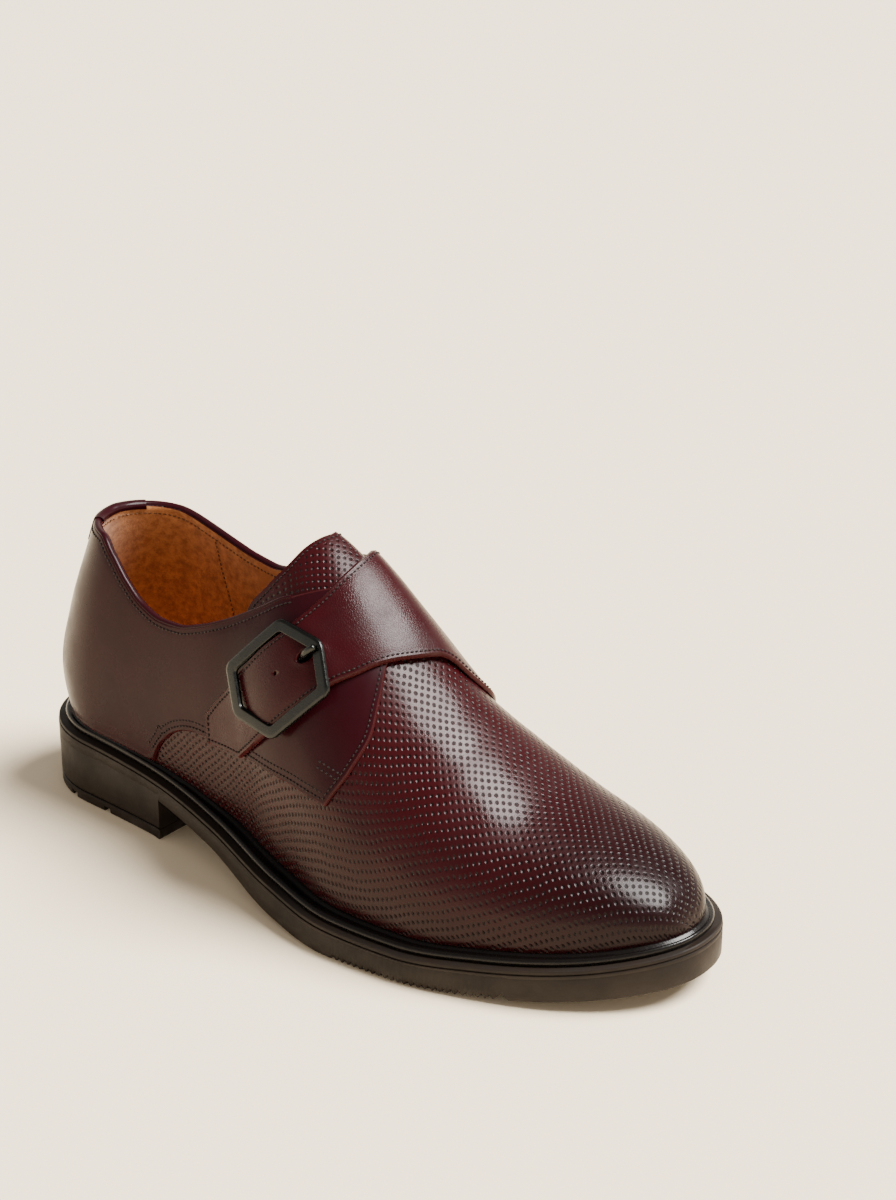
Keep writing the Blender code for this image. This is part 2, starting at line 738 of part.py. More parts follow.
def makeHeelLift(group, cutters):
    rings = [
        soleRing(bottomChamfer / 2, np.zeros_like),
        soleRing(0.0, lambda x: np.full_like(x, bottomChamfer / 2)),
        soleRing(0.0, lambda x: np.full_like(x, liftHeight)),
    ]
    piece = makeObject("heel_lift", stack("heel_lift", rings), "rubber", group)
    front = [(heelBreast, -liftHeight), (heelBreast, 2 * liftHeight), (2 * soleLength, 2 * liftHeight),
             (2 * soleLength, -liftHeight)]
    cutWith(piece, makeSideCutter("breast_cutter", [front], cutters))
    notches = []
    for place in heelNotchPlaces:
        notches.append([(place - heelNotch / 2, -notchDepth), (place - heelNotch / 2, notchDepth),
                        (place + heelNotch / 2, notchDepth), (place + heelNotch / 2, -notchDepth)])
    cutWith(piece, makeSideCutter("notch_cutter", notches, cutters))
    return piece


def atHeight(height):
    # ring round the last where it stands at a height over the sole
    spacings = np.linspace(0.0, 1.0, soleColumns + 1)
    girth = girthAt(spacings, height)
    lateral = lastPoint(spacings, -girth)
    medial = lastPoint(spacings, girth)
    return np.vstack([lateral, medial[-2:0:-1]])


def makeWelt(group):
    innerRing = inset(atHeight(weltHeight)[:, :2], -gap)
    outerRing = inset(solePlan(), weltMargin)
    sections = []
    for inner, outer in zip(innerRing, outerRing):
        across = outer - inner
        across /= np.linalg.norm(across)
        section = []
        for point, height in ((inner, gap), (outer, gap), (outer, weltHeight - weltBevel),
                              (outer - weltBevel * across, weltHeight), (inner, weltHeight)):
            section.append((point[0], point[1], float(soleTop(np.array(point[0]))) + height))
        sections.append(np.array(section))
    return makeObject("welt", loop("welt", sections), "welt", group)


def makeInsole(group):
    foot = inset(atHeight(0.0)[:, :2], wall + 2 * gap)
    low = np.column_stack([foot, soleTop(foot[:, 0]) + gap])
    high = np.column_stack([foot, soleTop(foot[:, 0]) + gap + insoleThickness])
    return makeObject("insole", stack("insole", [low, high]), "tan", group)


def makeUpper(group):
    runs = exactRuns(footRun(-1.0, 0.0, 1.0))
    runs += exactRuns(seamRun(1.0, -1.0, 1.0))
    runs += exactRuns(footRun(1.0, 1.0, 0.0))
    runs += exactRuns(seamRun(0.0, 1.0, collarBack))
    throat = (float(spacingOf(throatShare)), 0.0)
    runs += [collarRun(1.0, 0.0) + [throat]]
    runs += [[throat] + collarRun(-1.0, 0.0)[::-1]]
    runs += exactRuns(seamRun(0.0, -collarBack, -1.0))
    piece = makeObject("upper", layOnLast("upper", runs, flatLift(0.0)), "burgundy_dark", group)
    addSolidify(piece, wall, -1.0)
    return piece


def makeTongue(group):
    runs = [bySpacing(run) for run in TONGUE]
    mesh = layOnLast("tongue", runs, flatLift(-wall - layerGap))
    piece = makeObject("tongue", mesh, "burgundy_dark", group)
    addSolidify(piece, tongueThickness, -1.0)
    return piece


def makeLateralQuarter(group):
    edge = [bySpacing(run) for run in LATERAL_QUARTER]
    edge[-1].append(onFoot(lateralFoot, -1.0))
    collar = collarRun(-1.0, backSeam) + [edge[0][0]]
    runs = [collar] + edge
    runs += exactRuns(footRun(-1.0, edge[-1][-1][0], backSeam, panelFoot))
    runs += exactRuns(seamRun(backSeam, -float(girthAt(backSeam, panelFoot)), -collarBack))
    mesh = layOnLast("quarter_lateral", runs, flatLift(layerGap))
    piece = makeObject("quarter_lateral", mesh, "burgundy", group)
    addSolidify(piece, quarterThickness, 1.0)
    return piece


def makeMedialQuarter(group, cutters):
    edge = [bySpacing(run) for run in MEDIAL_FRONT]
    edge[0].insert(0, onFoot(medialFoot, 1.0))
    collar = collarRun(1.0, backSeam, medialCollarRows)[::-1]
    runs = exactRuns(footRun(1.0, backSeam, edge[0][0][0], panelFoot)) + edge
    runs[-1] = runs[-1] + [collar[0]]
    runs += [collar]
    runs += exactRuns(seamRun(backSeam, collarBack, float(girthAt(backSeam, panelFoot))))
    mesh = layOnLast("quarter_medial", runs, strapLift, buckleLattice())
    piece = makeObject("quarter_medial", mesh, "burgundy", group)
    addSolidify(piece, strapThickness, 1.0)
    cutWith(piece, makeHoleCutter("prong_hole", holeAlong, holeLength, holeWidth, cutters))
    cutWith(piece, makeHoleCutter("spare_hole", 0.0, spareHole, spareHole, cutters))
    return piece


def makeHoleCutter(name, along, length, width, cutters):
    work = bmesh.new()
    bmesh.ops.create_cone(work, cap_ends=True, segments=12, radius1=0.5, radius2=0.5, depth=1.0)
    mesh = bpy.data.meshes.new(name)
    work.to_mesh(mesh)
    work.free()
    piece = makeObject(name, mesh, None, cutters)
    piece.location = overBuckle(along, prongSkew * along, strapBase)
    axes = Matrix((crownward * length, crosswise * width, buckleNormal * 4 * strapBase)).transposed()
    mesh.transform(axes.to_4x4())
    work = bmesh.new()
    work.from_mesh(mesh)
    bmesh.ops.recalc_face_normals(work, faces=work.faces)
    work.to_mesh(mesh)
    work.free()
    return piece


def makeHeelTab(group):
    across = np.linspace(-tabWidth, tabWidth, 13)
    down = np.linspace(0.0, 1.0, 5)
    points = []
    for place in across:
        bottom = tabGirth - tabRise * (place / tabWidth) ** 2
        girth = (collarBack + down * (bottom - collarBack)) * (1 if place >= 0 else -1)
        spacing = np.full(len(down), abs(place))
        points.append(lastPoint(spacing, girth) + lastNormal(spacing, girth) * strapBase)
    faces = []
    size = len(down)
    for index in range(len(across) - 1):
        for level in range(size - 1):
            first = index * size + level
            faces.append((first, first + size, first + size + 1, first + 1))
    mesh = meshFrom("heel_tab", np.vstack(points), faces, sharp=50)
    piece = makeObject("heel_tab", mesh, "burgundy", group)
    addSolidify(piece, tabThickness, 1.0)
    return piece


def frameOutline(insetBy):
    # the frame's outline with rounded corners, stood in by a distance
    half = [(math.radians(degrees), share * frameReach) for degrees, share in FRAME_CORNERS]
    angles = [angle for angle, _ in half] + [angle + math.pi for angle, _ in half]
    reaches = [reach for _, reach in half] * 2
    order = np.argsort(np.mod(angles, 2 * math.pi))
    corners = np.array([(reaches[i] * math.cos(angles[i]), reaches[i] * math.sin(angles[i])) for i in order])
    ahead = np.roll(corners, -1, axis=0) - corners
    ahead /= np.linalg.norm(ahead, axis=1)[:, None]
    inward = np.stack([-ahead[:, 1], ahead[:, 0]], axis=1)
    moved = corners + insetBy * inward
    points = []
    for index in range(len(corners)):
        before = index - 1
        # where the two moved sides cross
        system = np.column_stack([ahead[before], -ahead[index]])
        along = np.linalg.solve(system, moved[index] - moved[before])[0]
        corner = moved[before] + along * ahead[before]
        rounding = max(frameRound - innerRounding * insetBy, leastRound)
        start, end = corner - rounding * ahead[before], corner + rounding * ahead[index]
        for part in (0.0, 0.33, 0.67, 1.0):
            points.append((1 - part) ** 2 * start + 2 * part * (1 - part) * corner + part ** 2 * end)
    return subdivideLong(np.array(points))


def subdivideLong(points):
    # three more points on each straight side, which follows each corner's four
    out = []
    for index, point in enumerate(points):
        out.append(point)
        if index % 4 == 3:
            after = points[(index + 1) % len(points)]
            out += [point + part * (after - point) for part in (0.25, 0.5, 0.75)]
    return np.array(out)


def makeFrame(group):
    base = frameLevel
    top = frameLevel + frameThickness
    bevel = frameBevel
    profile = (
        (bevel, base),
        (0.0, base + bevel),
        (0.0, top - bevel),
        (bevel, top),
        (frameWidth - bevel, top),
        (frameWidth, top - bevel),
        (frameWidth, base + bevel),
        (frameWidth - bevel, base),
    )
    rings = []
    for insetBy, height in profile:
        outline = frameOutline(insetBy)
        points = buckleOrigin + outline[:, :1] * forward + outline[:, 1:] * upward
        along = (points - buckleOrigin) @ crownward
        level = height - frameBow * (along / frameReach) ** 2
        rings.append(points + level[:, None] * buckleNormal)
    sections = np.stack(rings, axis=1)
    return makeObject("buckle_frame", loop("buckle_frame", list(sections)), "gunmetal", group)


def makeRod(name, points, radius, finish, group):
    curve = bpy.data.curves.new(name, "CURVE")
    curve.dimensions = "3D"
    spline = curve.splines.new("POLY")
    spline.points.add(len(points) - 1)
    for place, point in zip(spline.points, points):
        place.co = (*point, 1.0)
    curve.bevel_depth = radius
    curve.bevel_resolution = 2
    curve.use_fill_caps = True
    rod = bpy.data.objects.new(name + "_path", curve)
    group.objects.link(rod)
    view = bpy.context.evaluated_depsgraph_get()
    mesh = bpy.data.meshes.new_from_object(rod.evaluated_get(view))
    bpy.data.objects.remove(rod)
    work = bmesh.new()
    work.from_mesh(mesh)
    bmesh.ops.remove_doubles(work, verts=work.verts, dist=0.00001)
    bmesh.ops.recalc_face_normals(work, faces=work.faces)
    work.to_mesh(mesh)
    work.free()
    mesh.name = name
    mesh.materials.clear()
    mesh.shade_smooth()
    return makeObject(name, mesh, finish, group)


def makeBar(group):
    # the bar's ends stop short of the frame's inner sides
    outline = frameOutline(frameWidth)
    points = outline[:, :1] * forward + outline[:, 1:] * upward
    near = np.abs(points @ crownward) < frameWidth
    reach = np.abs(points @ crosswise)[near].min() - gap - barRadius / 2
    points = overBuckle(0.0, np.array([-reach, reach]), barLevel)
    return makeRod("buckle_bar", points, barRadius, "gunmetal", group)


def makeProng(group):
    along, height = np.array(PRONG_PATH).T
    points = overBuckle(along, prongSkew * along, height)
    return makeRod("buckle_prong", points, prongRadius, "gunmetal", group)


def main():
    for item in list(bpy.data.objects):
        bpy.data.objects.remove(item)
    group = bpy.data.collections.new("monk_strap_shoe")
    cutters = bpy.data.collections.new("cutters")
    bpy.context.scene.collection.children.link(group)
    bpy.context.scene.collection.children.link(cutters)

    pieces = [
        makeOutsole(group, cutters),
        makeHeelLift(group, cutters),
        makeWelt(group),
        makeInsole(group),
        makeUpper(group),
        makeTongue(group),
        makeLateralQuarter(group),
        makeMedialQuarter(group, cutters),
        makeHeelTab(group),
        makeFrame(group),
        makeBar(group),
        makeProng(group),
    ]

    # the origin lies on the floor, in the middle of the sole's outline
    outline = solePlan()
    centre = (outline.min(axis=0) + outline.max(axis=0)) / 2
    root = bpy.data.objects.new("shoe_origin", None)
    group.objects.link(root)
    root.location = (-centre[0], -centre[1], 0.0)
    for piece in pieces + list(cutters.objects):
        piece.parent = root


main()
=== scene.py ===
# Right monk strap shoe in burgundy leather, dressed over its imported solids
# X runs from the heel to the toe, -Y is the buckle's side, +Z is up; metres throughout.

import math

import bmesh
import bpy
import numpy as np
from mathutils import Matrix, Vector
from mathutils.geometry import delaunay_2d_cdt
from mathutils.kdtree import KDTree


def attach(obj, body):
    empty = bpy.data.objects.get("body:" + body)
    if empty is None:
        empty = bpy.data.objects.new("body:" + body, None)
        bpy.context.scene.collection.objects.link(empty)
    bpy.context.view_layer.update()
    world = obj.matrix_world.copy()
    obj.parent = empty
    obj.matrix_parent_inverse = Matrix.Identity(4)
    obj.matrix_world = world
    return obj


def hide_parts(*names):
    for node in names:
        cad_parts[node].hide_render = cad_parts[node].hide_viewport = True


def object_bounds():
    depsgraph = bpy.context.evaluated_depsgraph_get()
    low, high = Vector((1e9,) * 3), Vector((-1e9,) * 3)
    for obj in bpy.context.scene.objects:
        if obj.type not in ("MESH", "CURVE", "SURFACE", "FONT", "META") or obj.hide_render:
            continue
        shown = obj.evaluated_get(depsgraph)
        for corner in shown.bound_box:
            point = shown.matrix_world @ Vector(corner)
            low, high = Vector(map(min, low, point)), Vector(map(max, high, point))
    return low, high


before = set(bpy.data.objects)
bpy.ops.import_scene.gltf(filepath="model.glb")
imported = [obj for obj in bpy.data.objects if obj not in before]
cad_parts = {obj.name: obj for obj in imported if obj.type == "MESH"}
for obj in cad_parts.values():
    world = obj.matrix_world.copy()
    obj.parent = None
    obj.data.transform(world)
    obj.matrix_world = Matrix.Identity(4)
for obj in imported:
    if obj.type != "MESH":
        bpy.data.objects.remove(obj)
cadLow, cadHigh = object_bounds()
print("shoe frame loaded")


# Shared sizes

sole = {
    "length": cadHigh[0] - cadLow[0],
    "ballWidth": 0.1045,
    "heelSeat": 0.0286,
    "foreThickness": 0.011,
    "toeSpring": 0.0089,
    "springShare": 0.69,
    "heelRound": 0.0345,
    "toeRound": 0.078,
    "toeSwing": 0.0035,
    "heelBreast": 0.0775,
    "archRise": 0.0164,
    "archEndShare": 0.60,
    "liftHeight": 0.0042,
    "groovePitch": 0.0026,
    "grooveDepth": 0.0016,
    "grooveCount": 24,
    "bigGroove": (0.0050, 0.0022),
    "notchPlaces": (0.026, 0.046),
    "notchSize": (0.0036, 0.0018),
    "scoredAt": 0.74,  # share of the side's height
}

last = {
    "height": 0.1145,
    "counter": 0.077,
    "ledge": 0.0065,
    "heelLedge": 0.0055,
    "toeLedge": 0.0060,
    "cheek": 0.020,
    "tuck": 0.0012,
    "crownShift": 0.0035,
    "toeDrop": 0.0526,
    "toeFullness": 3.0,
    "widestGirth": 0.82,
}

leather = {
    "wall": 0.0018,
    "layerGap": 0.00035,
    "quarter": 0.0013,
    "strapGap": 0.0006,
    "strap": 0.0015,
    "tongue": 0.0016,
    "edgeRound": 0.0010,  # the cut edges are rounded over this
    "edgeHeight": 0.35,  # share of the thickness that is left at the very edge
    "panelFoot": 0.0037,  # lower edge of the quarters above the sole
    "stitchPitch": 0.0019,
    "stitchLength": 0.0014,
    "stitchWidth": 0.00070,
    "stitchInset": 0.0021,
    "stitchGroove": (0.00016, 0.0007),  # depth and half width of the dip under a row
    "threadLift": 0.00004,
    "collarInset": 0.0024,
    "liningInset": 0.0034,
    "tongueInset": 0.0026,
    "rowGap": 0.0023,  # between the two rows of a double seam
}

# share of length, lateral and medial half widths as shares of the ball width
solePlanTable = (
    (0.00, 0.316, 0.316), (0.13, 0.330, 0.330), (0.23, 0.349, 0.321), (0.36, 0.407, 0.287),
    (0.50, 0.531, 0.301), (0.60, 0.579, 0.368), (0.70, 0.560, 0.440), (0.80, 0.493, 0.464),
    (0.90, 0.431, 0.435), (1.00, 0.364, 0.378),
)

# share of length, shares of the heel seat, the forefoot thickness and the toe spring
soleTopTable = (
    (0.00, 1.00, 0.00, 0.00), (0.10, 0.97, 0.00, 0.00), (0.22, 0.90, 0.00, 0.00),
    (0.35, 0.72, 0.00, 0.00), (0.48, 0.31, 0.63, 0.00), (0.60, 0.03, 1.00, 0.00),
    (0.70, 0.00, 1.02, 0.00), (0.80, 0.00, 1.00, 0.25), (0.90, 0.00, 1.00, 0.62),
    (1.00, 0.00, 1.00, 1.25),
)

# share of length, lateral and medial margin, widest level, tuck, crown, crown's place, side and top fullness
lastTable = (
    (0.00, 0.69, 0.69, 1.000, 0.71, 0.938, 0.00, 0.90, 1.00),
    (0.13, 0.62, 0.69, 0.950, 0.71, 0.956, 0.00, 0.92, 1.00),
    (0.23, 0.77, 0.69, 0.900, 0.71, 0.963, 0.14, 0.95, 1.00),
    (0.33, 1.00, 0.62, 0.850, 0.86, 0.983, 0.43, 1.00, 0.98),
    (0.43, 1.31, 0.54, 0.750, 1.00, 1.000, 0.86, 1.03, 0.95),
    (0.50, 1.31, 0.62, 0.675, 1.00, 0.928, 1.00, 0.98, 0.95),
    (0.57, 1.23, 0.77, 0.625, 1.00, 0.797, 0.86, 0.97, 0.95),
    (0.64, 1.15, 0.92, 0.600, 0.86, 0.628, 0.57, 0.99, 0.95),
    (0.72, 1.08, 1.00, 0.575, 0.86, 0.489, 0.29, 0.90, 0.96),
    (0.80, 1.05, 1.00, 0.550, 0.71, 0.355, 0.14, 0.86, 0.95),
    (0.88, 1.00, 1.00, 0.500, 0.57, 0.282, 0.14, 0.84, 0.96),
    (1.00, 1.00, 1.00, 0.450, 0.57, 0.195, 0.14, 0.78, 0.95),
)

# height as a share of the counter's, lean of the heel's back as the same share
backCurve = ((0.00, 0.038), (0.28, -0.020), (0.60, 0.064), (1.00, 0.210), (1.50, 0.350))

# share of length, lateral and medial girth of the top line; girth is 0 on the crown and 1 at the foot
collarTable = (
    (0.087, 0.405, 0.425), (0.126, 0.446, 0.445), (0.168, 0.501, 0.465), (0.208, 0.540, 0.482),
    (0.242, 0.553, 0.493), (0.280, 0.546, 0.496), (0.313, 0.523, 0.482), (0.350, 0.485, 0.450),
    (0.388, 0.437, 0.410), (0.424, 0.381, 0.360), (0.455, 0.316, 0.300), (0.490, 0.206, 0.195),
    (0.518, 0.090, 0.090),
)
collarBack = 0.398
throatShare = 0.530
backSeam = 0.001  # spacing at which both quarters stop beside the back seam
medialCollarRows = 8  # of the table above, before the strap's back edge takes over
collarRows = {-1.0: 11, 1.0: 9}  # that the binding and the lining's seam follow on each side

# outlines as (share of length, girth), with a corner between runs
lateralFront = (
    (0.552, -0.070), (0.573, -0.120), (0.584, -0.187), (0.598, -0.281), (0.608, -0.388),
    (0.601, -0.504), (0.580, -0.636),
)
lateralBottom = (
    (0.580, -0.636), (0.530, -0.668), (0.466, -0.705), (0.390, -0.738), (0.324, -0.758),
    (0.295, -0.778), (0.266, -0.819), (0.245, -0.900),
)
lateralFootShare = 0.235
medialBottom = (
    (0.324, 0.880), (0.344, 0.760), (0.368, 0.712), (0.417, 0.693), (0.482, 0.696), (0.531, 0.690),
    (0.575, 0.672),
)
medialFootShare = 0.318
strapFront = (
    (0.575, 0.672), (0.612, 0.529), (0.635, 0.400), (0.641, 0.298), (0.634, 0.190), (0.616, 0.081),
    (0.598, -0.086), (0.581, -0.201), (0.567, -0.290), (0.552, -0.360), (0.537, -0.426),
    (0.521, -0.491), (0.502, -0.550), (0.480, -0.611), (0.453, -0.671), (0.424, -0.724),
)
strapEnd = ((0.424, -0.724), (0.353, -0.751))
strapSide = ((0.353, -0.751), (0.348, -0.691))
strapBack = (
    (0.348, -0.691), (0.372, -0.637), (0.397, -0.588), (0.422, -0.532), (0.448, -0.459),
    (0.470, -0.385), (0.487, -0.285), (0.494, -0.213), (0.497, -0.103), (0.488, 0.100), (0.474, 0.225),
)
tongueTop = (
    (0.378, -0.540), (0.381, -0.425), (0.402, -0.338), (0.422, -0.242), (0.431, -0.166),
    (0.441, -0.073), (0.446, 0.000), (0.441, 0.089), (0.432, 0.172), (0.422, 0.243),
    (0.405, 0.335), (0.387, 0.430), (0.385, 0.540),
)
tongueRoot = (
    (0.385, 0.540), (0.450, 0.520), (0.520, 0.430), (0.590, 0.280), (0.610, 0.000),
    (0.590, -0.280), (0.520, -0.430), (0.450, -0.520), (0.378, -0.540),
)


# Curves through tables

def slopes(knots, values):
    step = np.diff(knots)
    rise = np.diff(values) / step
    before, after = rise[:-1], rise[1:]
    near, far = 2 * step[1:] + step[:-1], step[1:] + 2 * step[:-1]
    turning = before * after <= 0
    safeBefore = np.where(turning, 1.0, before)
    safeAfter = np.where(turning, 1.0, after)
    inner = np.where(turning, 0.0, (near + far) / (near / safeBefore + far / safeAfter))
    return np.concatenate(([rise[0]], inner, [rise[-1]]))


def smooth(knots, values, places):  # never overshoots its values
    knots, values = np.asarray(knots, float), np.asarray(values, float)
    places = np.clip(places, knots[0], knots[-1])
    tangent = slopes(knots, values)
    cell = np.clip(np.searchsorted(knots, places, side="right") - 1, 0, len(knots) - 2)
    width = knots[cell + 1] - knots[cell]
    part = (places - knots[cell]) / width
    start = (1 + 2 * part) * (1 - part) ** 2 * values[cell]
    startTangent = part * (1 - part) ** 2 * width * tangent[cell]
    end = part ** 2 * (3 - 2 * part) * values[cell + 1]
    endTangent = part ** 2 * (part - 1) * width * tangent[cell + 1]
    return start + startTangent + end + endTangent


def column(table, index, places):
    return smooth([row[0] for row in table], [row[index] for row in table], places)


def ease(value):
    value = np.clip(value, 0.0, 1.0)
    return value * value * (3 - 2 * value)


def roundEnd(distance, reach, power):
    inside = np.clip((reach - distance) / reach, 0.0, 1.0)
    return np.clip(1 - inside ** power, 0.0, 1.0) ** (1 / power)


def unit(vectors):
    return vectors / np.linalg.norm(vectors, axis=-1)[..., None]


def pathLengths(points):  # way along a path to each of its points
    return np.concatenate(([0.0], np.cumsum(np.linalg.norm(np.diff(points, axis=0), axis=1))))


def circleAngles(count):
    return np.linspace(0, 2 * math.pi, count + 1)[:-1]


# Sole and last, in the shoe's own coordinates with the heel's back at x = 0

def swing(x):
    return sole["toeSwing"] * np.clip((x / sole["length"] - 0.6) / 0.4, 0.0, 1.0) ** 2


def soleWidths(x):
    share = x / sole["length"]
    return (sole["ballWidth"] * column(solePlanTable, side, share) for side in (1, 2))


def soleTop(x):
    heel, fore, spring = (column(soleTopTable, index, x / sole["length"]) for index in (1, 2, 3))
    return sole["heelSeat"] * heel + sole["foreThickness"] * fore + sole["toeSpring"] * spring


def soleBottom(x):
    past = np.clip((x / sole["length"] - sole["springShare"]) / (1 - sole["springShare"]), 0.0, 1.0)
    return sole["toeSpring"] * past ** 2


def archHeight(x):
    end = sole["archEndShare"] * sole["length"]
    part = np.clip((x - sole["heelBreast"]) / (end - sole["heelBreast"]), 0.0, 1.0)
    return sole["archRise"] * (1 - part) ** 2 * (1 + part)


def soleSides(x, insetBy=0.0):  # left and right edges of the sole's plan at x
    lateral, medial = soleWidths(x)
    ends = roundEnd(x, sole["heelRound"], 2.15) * roundEnd(sole["length"] - x, sole["toeRound"], 2.25)
    left = np.stack([x, -lateral * ends + swing(x)], axis=1)
    right = np.stack([x, medial * ends + swing(x)], axis=1)
    if insetBy:
        ring = insetRing(np.vstack([left, right[::-1]]), insetBy)
        left, right = ring[:len(x)], ring[len(x):][::-1]
    return left, right


def insetRing(ring, distance):
    ahead, behind = np.roll(ring, -1, axis=0), np.roll(ring, 1, axis=0)
    along = ahead - behind
    along /= np.maximum(np.linalg.norm(along, axis=1), 1e-9)[:, None]
    return ring + distance * np.stack([-along[:, 1], along[:, 0]], axis=1)


lastHeel = last["heelLedge"]
lastToe = sole["length"] - last["toeLedge"]


def lastX(spacing):
    return lastHeel + (lastToe - lastHeel) * (1 - np.cos(math.pi * spacing)) / 2


def spacingOf(share):
    part = (np.asarray(share) * sole["length"] - lastHeel) / (lastToe - lastHeel)
    return np.arccos(np.clip(1 - 2 * part, -1.0, 1.0)) / math.pi


def lastPoint(spacing, girth):
    spacing, girth = np.broadcast_arrays(np.asarray(spacing, float), np.asarray(girth, float))
    x = lastX(spacing)
    share = x / sole["length"]
    values = [column(lastTable, index, share) for index in range(1, 9)]
    lateralLedge, medialLedge, level, tucked, crown, shift, side, top = values
    lateral, medial = soleWidths(x)
    ends = (roundEnd(x - lastHeel, sole["heelRound"] - 0.0015, 2.15)
            * roundEnd(lastToe - x, sole["toeRound"] - 0.004, 2.2))
    lateral = (lateral - last["ledge"] * lateralLedge) * ends
    medial = (medial - last["ledge"] * medialLedge) * ends
    fall = np.clip((x - (lastToe - last["toeDrop"])) / last["toeDrop"], 0.0, 1.0)
    drop = np.clip(1 - fall ** last["toeFullness"], 0.0, 1.0) ** 0.44
    crown = last["height"] * crown * drop
    level = last["cheek"] * level * drop ** 0.5
    nearHeel = np.clip((x - lastHeel) / last["cheek"], 0, 1) ** 0.5
    nearToe = np.clip((lastToe - x) / last["cheek"], 0, 1) ** 0.5
    tucked = last["tuck"] * tucked * nearHeel * nearToe
    shift = last["crownShift"] * shift * np.clip((x - lastHeel) / (2 * last["cheek"]), 0.0, 1.0) * drop
    size = np.abs(girth)
    widest = last["widestGirth"]
    turn = (1 - np.clip(size / widest, 0.0, 1.0)) * math.pi / 2
    low = np.clip((1 - size) / (1 - widest), 0.0, 1.0)
    reach = np.where(girth < 0, lateral + shift, medial - shift)
    upperPart = size <= widest
    rounded = reach * np.clip(np.cos(turn), 0, 1) ** side
    domed = level + (crown - level) * np.clip(np.sin(turn), 0, 1) ** top
    out = np.where(upperPart, rounded, reach - tucked * (1 - low) ** 2)
    up = np.where(upperPart, domed, level * low)
    y = shift + np.sign(girth) * out + swing(x)
    fade = np.clip(1 - (x - lastHeel) / (0.367 * sole["length"]), 0.0, 1.0) ** 2
    heights = last["counter"] * np.array([row[0] for row in backCurve])
    lean = smooth(heights, last["counter"] * np.array([row[1] for row in backCurve]), up)
    return np.stack([x + fade * lean, y, soleTop(x) + up + 0.0003], axis=-1)


def lastNormal(spacing, girth):
    small = 0.002
    spacing, girth = np.broadcast_arrays(np.asarray(spacing, float), np.asarray(girth, float))
    ahead = np.clip(spacing + small, 0.0015, 0.9985)
    behind = np.clip(spacing - small, 0.0005, 0.9975)
    along = lastPoint(ahead, girth) - lastPoint(behind, girth)
    side = np.where(girth < 0, -1.0, 1.0)
    size = np.abs(girth)
    crownPart = size < small
    high = np.where(crownPart, small, side * np.clip(size + small, 0.0, 1.0))
    lowSide = np.where(crownPart, -small, side * np.clip(size - small, 0.0, 1.0))
    middle = np.clip(spacing, 0.001, 0.998)
    around = lastPoint(middle, high) - lastPoint(middle, lowSide)
    return unit(np.cross(along, around * np.where(crownPart, 1.0, side)[..., None]))


stationsFine = (1 - np.cos(np.linspace(0, math.pi, 400))) / 2 * sole["length"]
toWorld = np.array([cadLow[0], cadLow[1] - soleSides(stationsFine)[0][:, 1].min(), 0.0])


# Where each point lies on the flat hide: lengths along the shoe and round it

def hideTable():
    spacings, girths = np.linspace(0, 1, 241), np.linspace(-1, 1, 241)
    grid = lastPoint(*np.meshgrid(spacings, girths, indexing="ij"))
    along = np.zeros(grid.shape[:2])
    along[1:] = np.cumsum(np.linalg.norm(np.diff(grid, axis=0), axis=2), axis=0)
    along -= along[150:151]
    around = np.zeros(grid.shape[:2])
    around[:, 1:] = np.cumsum(np.linalg.norm(np.diff(grid, axis=1), axis=2), axis=1)
    around -= around[:, 120:121]
    return along, around


hideAlong, hideAround = hideTable()


def onHide(spacing, girth):
    cells = len(hideAlong) - 1
    first, second = np.clip(spacing, 0, 1) * cells, (np.clip(girth, -1, 1) + 1) / 2 * cells
    i, j = np.minimum(first.astype(int), cells - 1), np.minimum(second.astype(int), cells - 1)
    a, b = first - i, second - j
    out = []
    for table in (hideAlong, hideAround):
        low = table[i, j] * (1 - b) + table[i, j + 1] * b
        high = table[i + 1, j] * (1 - b) + table[i + 1, j + 1] * b
        out.append(low * (1 - a) + high * a)
    return np.stack(out, axis=-1)


# Meshes

def newObject(name, data):
    item = bpy.data.objects.new(name, data)
    bpy.context.scene.collection.objects.link(item)
    return item


def addPiece(name, mesh, materials, replaced=None):
    piece = newObject(name, mesh)
    for material in materials:
        mesh.materials.append(material)
    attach(piece, "root")
    if replaced:
        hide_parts(replaced)
    return piece


def newMesh(name, points, edges, faces):  # from points in the shoe's own coordinates
    mesh = bpy.data.meshes.new(name)
    mesh.from_pydata([tuple(point) for point in np.asarray(points) + toWorld], edges, faces)
    return mesh


def mended(mesh, merge=0.0, outward=False):
    work = bmesh.new()
    work.from_mesh(mesh)
    if merge:
        bmesh.ops.remove_doubles(work, verts=work.verts, dist=merge)
        bmesh.ops.dissolve_degenerate(work, dist=merge / 2, edges=work.edges)
    if outward:
        bmesh.ops.recalc_face_normals(work, faces=work.faces)
    work.to_mesh(mesh)
    work.free()
    return mesh


def tidyMesh(name, points, faces, sharp=40, merge=0.00001):
    mesh = newMesh(name, points, [], faces)
    if merge:
        mended(mesh, merge)
    mesh.shade_smooth()
    mesh.set_sharp_from_angle(angle=math.radians(sharp))
    return mesh


def bakeObject(piece):  # the evaluated mesh takes the place of the modifiers
    view = bpy.context.evaluated_depsgraph_get()
    mesh = bpy.data.meshes.new_from_object(piece.evaluated_get(view), preserve_all_data_layers=True,
                                           depsgraph=view)
    piece.modifiers.clear()
    piece.data = mesh
    return piece


def bandMesh(name, sections, closed=True, capped=False, sharp=40):
    count, size = len(sections), len(sections[0])
    faces = []
    for index in range(count if closed else count - 1):
        after = (index + 1) % count
        for corner in range(size):
            turn = (corner + 1) % size
            near, far = index * size, after * size
            faces.append((near + corner, far + corner, far + turn, near + turn))
    if capped:
        faces.append(tuple(range(size)))
        faces.append(tuple((count - 1) * size + corner for corner in reversed(range(size))))
    return tidyMesh(name, np.vstack(sections), faces, sharp)


